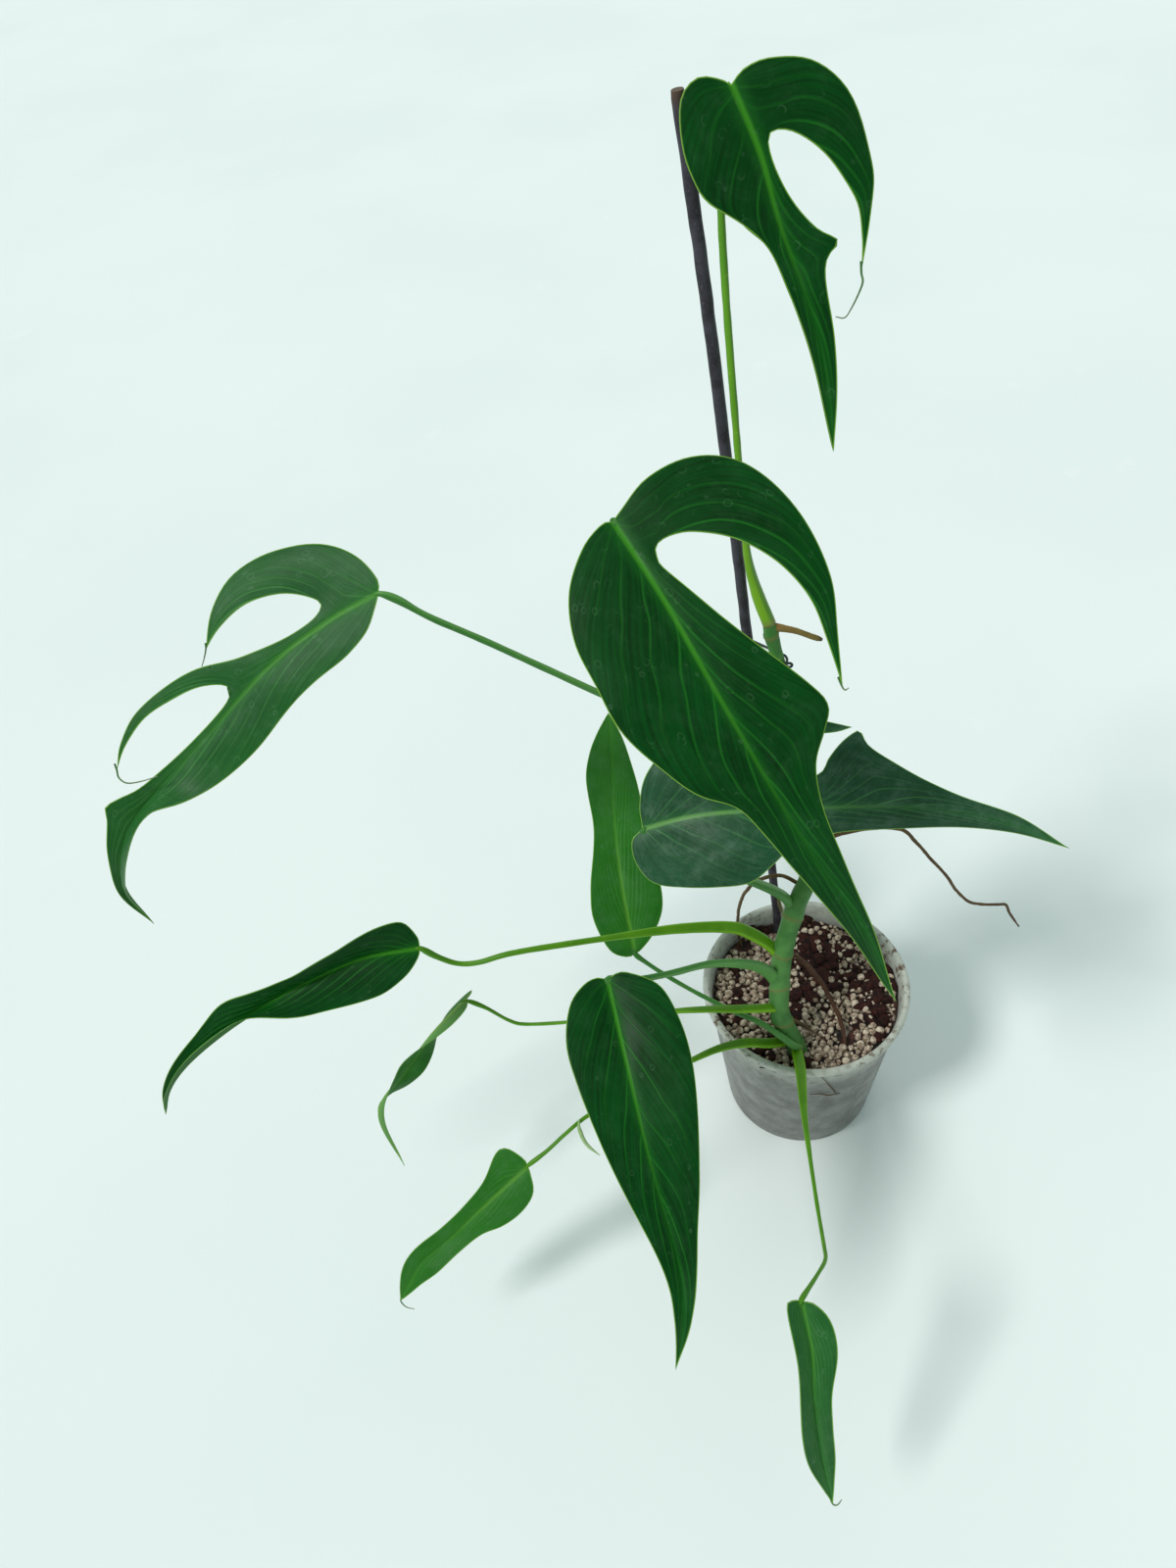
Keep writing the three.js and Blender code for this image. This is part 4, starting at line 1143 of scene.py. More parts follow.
class Panel(NamedTuple):
    """A strip of a flat half blade between two rails that share both ends.

    Args:
        inner: the rail at the midrib or along a slit.
        outer: the rail at the margin.
        start: the place on the midrib where it starts, in mm.
    """

    inner: Array
    outer: Array
    start: float


@dataclass
class Blade:
    """A leaf blade: a thin sheet with its midrib, side veins, waves and cut margin.

    Args:
        name: the leaf's name.
        form: its outline and its lie.
        young: whether its back wears the paler young skin.
        face: the skin of its upper side.
        vein_gap: the distance between two side veins at the midrib, in mm.
        vein_reach: how far forward a side vein runs before the margin, as a share of the length.
        step: the length between two rows of points, in mm.
        thickness: how thick it is, in mm.
        rib_depth: how far the midrib stands out below at the stalk, in mm.
        rib_half_width: half the width of the midrib at the stalk and at the tip, in mm.
        groove: how deep the midrib's groove is above, in mm.
        quilting: how high it swells between the side veins, in mm.
        waves: how high its slow waves are, in mm.
        wave_length: how wide they are, in mm.
        web: how far from a slit's root the relief is damped, in mm.
        columns: where the columns of points stand, as shares of the way to the margin.
    """

    name: str
    form: BladeForm
    young: bool = False
    face: LeafSkin = MATURE_FACE
    vein_gap: float = 22.0
    vein_reach: float = 0.42
    step: float = 2.2
    thickness: float = 0.5
    rib_depth: float = 1.4
    rib_half_width: tuple[float, float] = (1.5, 0.4)
    groove: float = 0.35
    quilting: float = 0.5
    waves: float = 1.1
    wave_length: float = 30.0
    web: float = 14.0
    columns: Sequence[float] = (0, 0.02, 0.05, 0.1, 0.18, 0.28, 0.39, 0.5, 0.61, 0.72, 0.82, 0.9, 0.96,
                                1)

    def panels(self, half: Half, length: float) -> list[Panel]:
        """Part one half into strips: to each lobe's tip, then to the leaf's tip.

        Args:
            half: the half to part.
            length: the blade's length.

        Returns:
            The strips, from the base.
        """
        slits = list(half.slits)
        edges = [smooth(edge) for edge in (half.margin, *(slit.edge for slit in slits))]
        feet = [0.0, *(slit.foot for slit in slits), length]
        rows = self.rows(length)
        web, strips = None, []
        for k, edge in enumerate(edges):
            stations = rows[(rows >= feet[k] - 1e-6) & (rows <= feet[k + 1] + 1e-6)]
            inner = np.stack([stations, np.zeros_like(stations)], -1)
            outline = edge if k == 0 else edge[slits[k - 1].root * STEPS:]
            next_web = None
            if k < len(slits):
                back = edges[k + 1][:slits[k].root * STEPS + 1][::-1]
                gap = np.linalg.norm(back[0] - inner[-1])
                next_web = np.linspace(inner[-1], back[0], max(2, round(gap / self.step)) + 1)
                run = Line(back)
                rest = run.evenly(max(4, round(run.length / self.step)))
                inner = np.vstack([inner, next_web[1:], rest[1:]])
            count = len(inner) - 1 - (len(web) - 1 if web is not None else 0)
            outer_line = Line(outline)
            if slits:
                outer = outer_line.evenly(count)
            else:
                outer = outer_line.point(stations / length * outer_line.length)
            if web is not None:
                outer = np.vstack([web, outer[1:]])
            outer[-1] = inner[-1]
            strips.append(Panel(inner, outer, feet[k]))
            web = next_web
        return strips

    def rows(self, length: float) -> Array:
        """Give the places of the cross rows on the midrib, even between the feet of the slits.

        Args:
            length: the blade's length.

        Returns:
            The places, from 0 to the length.
        """
        feet = sorted(slit.foot for half in (self.form.left, self.form.right) for slit in half.slits)
        rows = [np.zeros(1)]
        for start, end in zip([0.0, *feet], [*feet, length]):
            count = max(1, round((end - start) / self.step))
            rows.append(np.linspace(start, end, count + 1)[1:])
        return np.concatenate(rows)

    def flat_mesh(self, length: float) -> tuple[Array, list[list[int]], list[list[Array]]]:
        """Mesh the flat blade.

        Args:
            length: the blade's length.

        Returns:
            The flat points, the faces that look up, and the `vein` vector at each face's corners.
        """
        known: dict[tuple[float, float], tuple[int, tuple[float, float]]] = {}
        faces, corners = [], []
        shares = np.asarray(self.columns)
        for half, side in ((self.form.left, 1), (self.form.right, -1)):
            for panel in self.panels(half, length):
                across = (panel.outer - panel.inner)[:, None]
                spots = (panel.inner[:, None] + across * shares[:, None]) * (1, side)
                grid = np.array([[known.setdefault((round(x, 3), round(y, 3)), (len(known), (x, y)))[0]
                                  for x, y in row] for row in spots])
                veins = self.veins(panel, side, length)
                for i, j in np.ndindex(len(grid) - 1, len(shares) - 1):
                    face: dict[int, Array] = {}
                    for spot in [(i, j), (i + 1, j), (i + 1, j + 1), (i, j + 1)][::side]:
                        face.setdefault(int(grid[spot]), veins[spot])
                    if len(face) > 2:
                        faces.append(list(face))
                        corners.append(list(face.values()))
        return np.array([spot for _, spot in known.values()]), faces, corners

    def veins(self, panel: Panel, side: int, length: float) -> Array:
        """Give the `vein` vector at each row and column of a strip.

        Args:
            panel: the strip.
            side: 1 to the left of the midrib and -1 to the right, where the count starts apart.
            length: the blade's length.

        Returns:
            The vectors.
        """
        shares, reach = np.asarray(self.columns), self.vein_reach * length
        along = (panel.start + Line(panel.inner).sums)[:, None]
        widths = np.maximum(np.linalg.norm(panel.outer - panel.inner, axis=1), 0.3)[:, None]
        count = (along - reach * shares) / self.vein_gap + (100.5 if side > 0 else 200)
        gap = self.vein_gap / np.hypot(1, reach / widths)
        return np.stack(np.broadcast_arrays(count, gap, shares), -1)

    def from_margin(self, flat: Array, faces: list[list[int]]) -> Array:
        """Give each flat point's distance from the margin.

        Args:
            flat: the flat points.
            faces: the flat faces.

        Returns:
            The distances, in mm.
        """
        rim = np.array(sorted(self.rim_edges(faces)))
        start, end = flat[rim[:, 0]], flat[rim[:, 1]]
        span = end - start
        squares = np.maximum(np.sum(span**2, -1), 1e-9)
        nearest = np.full(len(flat), 1e9)
        for i, spot in enumerate(flat):
            share = np.clip(np.sum((spot - start) * span, -1) / squares, 0, 1)
            nearest[i] = np.min(np.linalg.norm(start + share[:, None] * span - spot, axis=1))
        return nearest

    def calm(self, flat: Array) -> Array:
        """Give how far each flat point is from the web beside a slit, from 0 to 1.

        Args:
            flat: the flat points.

        Returns:
            The shares.
        """
        shares = np.ones(len(flat))
        for half, side in ((self.form.left, 1), (self.form.right, -1)):
            for slit in half.slits:
                foot = np.array([slit.foot, 0.0])
                span = np.array(slit.edge[slit.root]) * (1, side) - foot
                place = np.clip((flat - foot) @ span / (span @ span), 0, 1)
                away = np.linalg.norm(flat - foot - place[:, None] * span, axis=1)
                shares = np.minimum(shares, np.clip(away / self.web, 0, 1))
        return shares

    @staticmethod
    def rim_edges(faces: list[list[int]]) -> list[tuple[int, int]]:
        """Give the edges that only one face has, in that face's order."""
        edges = {(a, b) for face in faces for a, b in zip(face, face[1:] + face[:1])}
        return [(a, b) for a, b in edges if (b, a) not in edges]

    def build(self) -> Piece:
        """Build and dress the blade.

        Returns:
            The finished object.
        """
        sheet = Sheet(self.form)
        flat, faces, corners = self.flat_mesh(sheet.length)
        margin = self.from_margin(flat, faces)
        middle = sheet.place(flat)
        normals = vertex_normals(middle, faces)
        share = np.clip(flat[:, 0] / sheet.length, 0, 1)
        half_width = self.rib_half_width[0] + share * (self.rib_half_width[1] - self.rib_half_width[0])
        rib = np.abs(flat[:, 1]) / half_width
        vein = np.zeros((len(flat), 3))
        for face, values in zip(faces, corners):
            vein[face] = values
        pleat = 0.5 - np.abs((vein[:, 0] % 1) - 0.5)
        calm = self.calm(flat)
        room = np.minimum(1, margin / 6) * np.minimum(1, rib / 4) * calm
        swell = grain(middle, self.wave_length, len(self.name)) * self.waves * np.minimum(1, rib / 6)
        lift = swell + self.quilting * (2 * pleat) ** 0.6 * room
        thick = self.thickness * (0.55 + 0.45 * np.minimum(1, margin / 3))
        groove = self.groove * np.exp(-(rib**2)) * (1 - share)
        keel = self.rib_depth * (1 - 0.85 * share) * np.exp(-((rib / 1.1) ** 2))
        keel *= np.minimum(1, margin / 1.2)
        upper = middle + normals * (lift + thick / 2 - groove)[:, None]
        lower = middle + normals * (lift - thick / 2 - keel)[:, None]
        count = len(flat)
        rim = self.rim_edges(faces)
        under = [[i + count for i in reversed(face)] for face in faces]
        walls = [[a, a + count, b + count, b] for a, b in rim]
        picks = [0] * len(faces) + [1] * len(under) + [2] * len(walls)
        skins = self.face, YOUNG_BACK if self.young else MATURE_BACK
        own_patch = (37 * len(self.name), 0, 0)
        values = {
            "flat": np.tile(np.column_stack([flat, margin]), (2, 1)) + own_patch,
            "rib": np.tile(np.column_stack([rib, share, calm]), (2, 1)),
        }
        piece = make_piece(f"{self.name}_leaf_blade", np.vstack([upper, lower]), [*faces, *under, *walls],
                           [*skins, LEAF_EDGE], picks, values)
        flow = [value for values in corners for value in values]
        flow += [value for values in corners for value in reversed(values)]
        flow += [np.zeros(3)] * (4 * len(walls))
        store(piece.data, "vein", np.array(flow), "CORNER")
        piece.data.polygons.foreach_set("use_smooth", np.array(picks) != 2)
        return piece


def vertex_normals(points: Array, faces: list[list[int]]) -> Array:
    """Give the outward direction at each point of an open sheet.

    Args:
        points: the sheet's points.
        faces: its faces.

    Returns:
        One unit vector for each point.
    """
    sums = np.zeros_like(points)
    corners = np.array([[face[0], face[-2], face[-1]] for face in faces]
                       + [[face[0], face[1], face[-2 if len(face) > 3 else -1]] for face in faces])
    a, b, c = (points[corners[:, k]] for k in range(3))
    spans = np.cross(b - a, c - a)
    for k in range(3):
        np.add.at(sums, corners[:, k], spans)
    return unit(sums)


@dataclass(frozen=True)
class StalkForm:
    """How a leaf stalk runs.

    Args:
        path: its middle line.
        section: rows of place, half width, half height and depth of the channel.
    """

    path: Points
    section: Points


@dataclass
class Stalk:
    """A leaf stalk with its channelled sheath and the swollen joint below the blade.

    Args:
        name: the leaf's name.
        form: its path and section.
        blade: the form of the blade, which the stalk runs into from below.
        lime: whether it wears the yellower young skin.
        sides: how many sides its section has.
        step: the length between two rings of points, in mm.
        joint_swell: how far the joint below the blade swells, in mm.
        joint_place: where the joint is, as a share of the length.
        joint_length: half its length, as a share.
        overlap: how far the stalk runs on under the blade, in mm.
        drop: how far below the midrib it ends, in mm.
    """

    name: str
    form: StalkForm
    blade: BladeForm
    lime: bool = False
    sides: int = 22
    step: float = 1.6
    joint_swell: float = 0.35
    joint_place: float = 0.955
    joint_length: float = 0.03
    overlap: float = 2.5
    drop: float = 1.7

    def build(self) -> Piece:
        """Build and dress the stalk.

        Returns:
            The finished object.
        """
        midrib = Line(smooth(self.blade.midrib))
        start = np.array([self.overlap])
        below = unit(np.asarray(self.blade.face[0][1:], float))
        along = midrib.tangent(start)[0]
        end = midrib.point(start)[0] - self.drop * (below - below @ along * along)
        path = np.vstack([self.form.path, end])
        points, faces, run, outward = sweep(path, self.form.section, self.sides, self.step)
        share = run[:, 0]
        joint = self.joint_swell * np.exp(-(((share - self.joint_place) / self.joint_length) ** 2))
        skin = 0.12 * grain(points, 7.0, 3 + len(self.name))
        slim = 0.5 * np.clip((share - 0.97) / 0.03, 0, 1)
        points = points + outward * (joint + skin - slim)[:, None]
        run[:, 2] = np.clip(0.9 - share / 0.025, 0, 0.9) * (share < 0.03)
        finish = LIME_STALK if self.lime else MATURE_STALK
        return make_piece(f"{self.name}_leaf_stalk", points, faces, [finish], values={"run": run})


# Stem, stake, tie and roots


@dataclass
class Stem:
    """The climbing stem, with a corky ring and a slight swelling at each leaf scar.

    Args:
        path: its middle line.
        radius: rows of place and radius.
        scars: where the scars are, as shares of the length.
        scar_width: half the width of a scar's ring, in mm.
        scar_height: how far the ring stands out, in mm.
        sides: how many sides its section has.
        step: the length between two rings of points, in mm.
    """

    path: Points = ((-8, -30, 62), (-10, -33, 80), (-12, -34, 96), (-20, -28, 120), (-19, -20, 135),
                    (-16, -11, 152), (-9, -4, 178), (0, 5, 199), (-2, 17, 239), (-9, 28, 284),
                    (-15, 35, 313), (-17, 37, 323), (-17.5, 37.5, 327))
    radius: Points = ((0, 4.6), (0.12, 5), (0.3, 5), (0.45, 4.7), (0.7, 3.7), (0.92, 2.9), (0.98, 2.9),
                      (1, 2.2))
    scars: Sequence[float] = (0.2, 0.27, 0.34, 0.42, 0.53, 0.69, 0.85, 0.972)
    scar_width: float = 0.9
    scar_height: float = 0.45
    sides: int = 36
    step: float = 0.8

    def build(self) -> Piece:
        """Build and dress the stem.

        Returns:
            The finished object.
        """
        section = [(place, size, size, 0.0) for place, size in self.radius]
        points, faces, run, outward = sweep(self.path, section, self.sides, self.step, (0, -1, 0))
        length = Line(smooth(self.path)).length
        turn = np.arctan2(outward[:, 1], outward[:, 0])
        ring = np.zeros(len(points))
        swell = np.zeros(len(points))
        for number, scar in enumerate(self.scars):
            off = (run[:, 0] - scar) * length + 1.2 * np.cos(turn - 2.4 * number)
            ring = np.maximum(ring, np.exp(-((off / self.scar_width) ** 2)))
            swell = np.maximum(swell, np.exp(-((off / 5) ** 2)))
        skin = 0.25 * grain(points, 6.0, 2) + 0.1 * grain(points, 2.2, 5)
        points = points + outward * (self.scar_height * ring + 0.3 * swell + skin)[:, None]
        run[:, 1] = 0.5
        run[:, 2] = 0.6 * ring
        return make_piece("green_stem", points, faces, [STEM_SKIN], values={"run": run})


@dataclass
class Rod:
    """A slim round piece along a path: a root, the stake or a dried tip.

    Args:
        name: the piece's name.
        path: its middle line.
        radius: rows of place and radius.
        finish: what it wears.
        knobble: how uneven its skin is, in mm.
        knob_size: the width of the skin's swells, in mm.
        wander: how far small kinks push it aside, in mm.
        ends: how far from either end the mark tone reaches, as shares of the length.
        spacing: the length between two points of its line, in mm.
    """

    name: str
    path: Points
    radius: Points
    finish: Finish
    knobble: float = 0.5
    knob_size: float = 4.0
    wander: float = 0.3
    ends: tuple[float, float] = (0.0, 0.0)
    spacing: float = 1.0

    def line(self) -> Array:
        """Give the middle line with its small kinks.

        Returns:
            The points.
        """
        line = Line(smooth(self.path))
        points = line.evenly(max(8, round(line.length / self.spacing)))
        off = np.stack([grain(points, 11.0, seed) for seed in (1, 2, 3)], -1) * self.wander
        ease = np.minimum(1, np.minimum(np.arange(len(points)), np.arange(len(points))[::-1]) / 6)
        return points + off * ease[:, None]

    def parts(self) -> tuple[Array, Array, Array]:
        """Give what the rod tool draws.

        Returns:
            The points, their radii and their `run` vectors.
        """
        points = self.line()
        share = np.linspace(0, 1, len(points))
        radii = between(self.radius, share)[:, 0]
        start, end = self.ends
        mark = np.zeros(len(points))
        if start:
            mark = np.maximum(mark, np.clip(1 - share / start, 0, 1))
        if end:
            mark = np.maximum(mark, np.clip(1 - (1 - share) / end, 0, 1))
        return points, radii, np.stack([share, np.full(len(points), 0.5), mark], -1)

    def build(self, tool: RodTool, sides: int = 14, step: float = 1.0) -> Piece:
        """Draw the rod with the rod tool."""
        points, radii, run = self.parts()
        return tool.draw(self.name, [points], [radii], [run], self.finish, sides, step,
                         self.knobble, self.knob_size)


@dataclass
class Tie:
    """A thin coated wire once round stem and stake, twisted to a small eye.

    Args:
        height: its height above the floor, in mm.
        wire: the wire's radius, in mm.
        stem_radius: the stem's radius there, in mm.
        stake_radius: the stake's, with some play, in mm.
        eye_radius: the radius of the eye, in mm.
    """

    height: float = 306.5
    wire: float = 0.6
    stem_radius: float = 3.3
    stake_radius: float = 2.9
    eye_radius: float = 1.3

    def build(self, tool: RodTool, stem: Points, stake: Points) -> Piece:
        """Build and dress the tie.

        Args:
            tool: the rod tool.
            stem: the stem's middle line.
            stake: the stake's middle line.

        Returns:
            The finished object.
        """
        trunk, post = self.at_height(stem), self.at_height(stake)
        axis = unit(trunk - post)
        across = np.array([-axis[1], axis[0], 0])
        eye_centre = trunk + axis * (self.stem_radius + 2 * self.wire + self.eye_radius)
        loop = np.vstack([
            self.arc(trunk, self.stem_radius + self.wire, -0.5, 0.5, axis, across),
            self.arc(post, self.stake_radius + self.wire, 0.5, 1.5, axis, across)])
        eye = self.arc(eye_centre, self.eye_radius, 1, 3, axis, across)[:-1]
        loop = smooth(loop, closed=True, steps=6)[:-1]
        lines = [loop, eye]
        radii = [np.full(len(line), self.wire) for line in lines]
        runs = [np.zeros((len(line), 3)) for line in lines]
        return tool.draw("wire_tie", lines, radii, runs, WIRE_COAT, 10, 0.5, 0.05, 2.0, closed=True)

    def at_height(self, path: Points) -> Array:
        """Give the point where a rising path reaches the tie's height."""
        line = smooth(path)
        return np.array([*(np.interp(self.height, line[:, 2], line[:, k]) for k in (0, 1)), self.height])

    @staticmethod
    def arc(centre: Array, radius: float, start: float, end: float, axis: Array, across: Array) -> Array:
        """Give an arc's points, with its ends in half turns from the axis."""
        angles = np.linspace(start, end, 13)[:, None] * math.pi
        return centre + radius * (np.cos(angles) * axis + np.sin(angles) * across)


# Pot and potting mix


@dataclass
class Pot:
    """The thin nursery pot: a turned shell with a rolled rim and a ring of drainage holes.

    Args:
        height: its height, in mm.
        rim_radius: the rim's outer radius, in mm.
        rim_depth: how far down the rim reaches, in mm.
        wall_top: the wall's outer radius below the rim, in mm.
        base: the wall's outer radius at the foot, in mm.
        wall: how thick the wall is, in mm.
        floor: how high the inner floor lies, in mm.
        holes: how many drainage holes it has.
        hole_radius: their radius, in mm.
        hole_circle: the radius of the circle that they stand on, in mm.
        sides: how many sides the turned shell has.
    """

    height: float = 103
    rim_radius: float = 55
    rim_depth: float = 4.6
    wall_top: float = 51.8
    base: float = 41.5
    wall: float = 1
    floor: float = 1.5
    holes: int = 6
    hole_radius: float = 3.5
    hole_circle: float = 29
    sides: int = 144

    def inner_radius(self, height: Array | float) -> Array | float:
        """Give the inside radius of the wall at a height."""
        slope = (self.wall_top - self.base) / (self.height - self.rim_depth - 1.2)
        return self.base - self.wall + (height - self.floor - 1) * slope

    def profile(self) -> Array:
        """Give the section from the middle of the underside round to the middle of the floor.

        Returns:
            Rows of radius and height, in mm.
        """
        foot, rim = self.height - self.rim_depth, self.rim_radius
        wall = [(self.base + (self.wall_top - self.base) * t, 2.2 + (foot - 3.2) * t)
                for t in np.linspace(0, 1, 20)]
        inner = [(self.inner_radius(z) - 0.1, z) for z in np.linspace(foot - 2, self.floor + 2.5, 20)]
        return np.array([
            (0, 0.5), (12, 0.5), (24, 0.5), (34, 0.5), (36.5, 0.3), (37.5, 0), (self.base - 2, 0),
            (self.base - 0.8, 0.25), (self.base - 0.2, 1), *wall,
            (self.wall_top + 0.3, foot - 0.4), (rim - 1.2, foot), (rim - 0.4, foot + 0.4),
            (rim - 0.05, foot + 1.2), (rim, self.height - 1.4), (rim - 0.3, self.height - 0.5),
            (rim - 1, self.height),
            (self.wall_top + 1.2, self.height), (self.wall_top + 0.3, self.height - 0.4),
            (self.wall_top - 0.4, self.height - 1.3), *inner,
            (self.base - self.wall - 0.6, self.floor + 0.9), (self.base - self.wall - 1.5, self.floor),
            (34, self.floor), (24, self.floor), (12, self.floor), (0, self.floor)])

    def build(self) -> Piece:
        """Build and dress the pot.

        Returns:
            The finished object.
        """
        points, faces = turned(self.profile(), self.sides)
        piece = make_piece("nursery_pot", points, faces, [FROSTED_POT])
        DrainTool().run(piece, {
            "Holes": self.holes, "Circle": self.hole_circle * MM, "Hole": self.hole_radius * MM,
            "Material": FROSTED_POT.material()})
        piece.data.set_sharp_from_angle(angle=math.radians(50))
        return piece


def turned(profile: Array, sides: int) -> tuple[Array, list[list[int]]]:
    """Turn a section that starts and ends on the axis round it.

    Args:
        profile: rows of radius and height, anticlockwise seen with the axis to the left.
        sides: how many steps the turn has.

    Returns:
        The points and the faces.
    """
    angles = np.linspace(0, 2 * np.pi, sides, endpoint=False)
    rings = [np.stack([r * np.cos(angles), r * np.sin(angles), np.full(sides, z)], -1)
             for r, z in profile[1:-1]]
    points = np.vstack([*rings, [(0, 0, profile[0][1])], [(0, 0, profile[-1][1])]])
    return points, ring_faces(len(rings) - 1, sides)


@dataclass
class Substrate:
    """The potting mix: a packed bed, with perlite and bark strewn over its top.

    Args:
        pot: the pot that it fills.
        top: the height of its top, in mm.
        relief: how uneven the top is, in mm.
        gap: how far it keeps off the pot's wall, in mm.
        sides: how many sides the turned bed has.
    """

    pot: Pot
    top: float = 93
    relief: float = 1.3
    gap: float = 0.4
    sides: int = 120

    def height(self, x: Array, y: Array) -> Array:
        """Give the height of the uneven top.

        Args:
            x: places to the right, in mm.
            y: places to the back, in mm.

        Returns:
            The heights, in mm.
        """
        slow = np.sin(x * 0.11 + 1.3) * np.cos(y * 0.13 - 0.4)
        quick = np.sin(x * 0.37 + y * 0.21) * np.cos(y * 0.41 - x * 0.15)
        return self.top + self.relief * (0.6 * slow + 0.4 * quick)

    def build(self, clear_of: Array) -> list[Piece]:
        """Build and dress the bed and what is strewn on it.

        Args:
            clear_of: places on the top, in mm, which the strewn pieces keep off.

        Returns:
            The bed, the perlite, the fine grit and the bark.
        """
        inner = self.pot.inner_radius
        edge = inner(self.top - 2) - self.gap
        low = self.pot.floor + 0.3
        sides = [(inner(z) - self.gap, z) for z in np.linspace(low + 1.5, self.top - 2, 12)]
        rings = [(r, self.top) for r in edge * np.linspace(0.985, 0.02, 34)]
        foot = [(0, low), (20, low), (inner(low + 1.5) - 1.8, low)]
        profile = np.array([*foot, *sides, *rings, (0, self.top)])
        points, faces = turned(profile, self.sides)
        rough = 0.9 * grain(points, 5.0, 8)
        flat = np.isclose(points[:, 2], self.top)
        heights = self.height(points[:, 0], points[:, 1]) - 1.0 + rough
        points[:, 2] = np.where(flat, heights, points[:, 2])
        bed = make_piece("potting_bed", points, faces, [PACKED_MIX])
        patchy = grain(points, 17.0, 4)
        away = np.min(np.linalg.norm(points[:, None, :2] - clear_of[None], axis=2), axis=1)
        free = flat & (away > 5.5) & (np.hypot(points[:, 0], points[:, 1]) < edge - 1.5)
        scatter = ScatterTool()
        strewn = []
        for name, room, values, finish in self.layers(patchy, free):
            ground = make_piece(name, points, faces, [finish], values={"room": room})
            strewn.append(scatter.run(ground, {**values, "Material": finish.material()}))
        return [bed, *strewn]

    def layers(self, patchy: Array, free: Array) -> list[tuple[str, Array, dict[str, Any], Finish]]:
        """List what is strewn on the bed, from the largest to the finest.

        Args:
            patchy: a smooth random value at each point of the bed.
            free: where pieces may lie.

        Returns:
            The name, the room for it, the scatter tool's inputs and the finish of each.
        """
        pale = np.clip(1.5 + 2.6 * patchy, 0.25, 1) * free
        dark = np.clip(0.3 - 2.4 * patchy, 0.05, 1) * free
        grit = np.clip(pale + 0.3, 0, 1) * free
        labels = "Apart", "Least", "Most", "Stretch", "Lumps", "Tilt", "Lift", "Faces", "Seed"
        rows = [
            ("bark_chips", dark, BARK, (6.0, 2.6, 5.0), ((1.4, 0.9, 0.55), 0.9, 0.45, 0.2, 2, 11)),
            ("perlite_grains", pale, PERLITE, (3.6, 1.4, 2.5), ((1.0, 0.92, 0.85), 0.7, 1.0, 0.5, 2, 23)),
            ("perlite_grit", grit, PERLITE, (2.3, 0.8, 1.4), ((1.0, 0.9, 0.8), 0.6, 1.0, 0.4, 1, 37)),
        ]
        return [(name, room, dict(zip(labels, (*(size * MM for size in sizes), *rest))), finish)
                for name, room, finish, sizes, rest in rows]


# Camera, light and floor


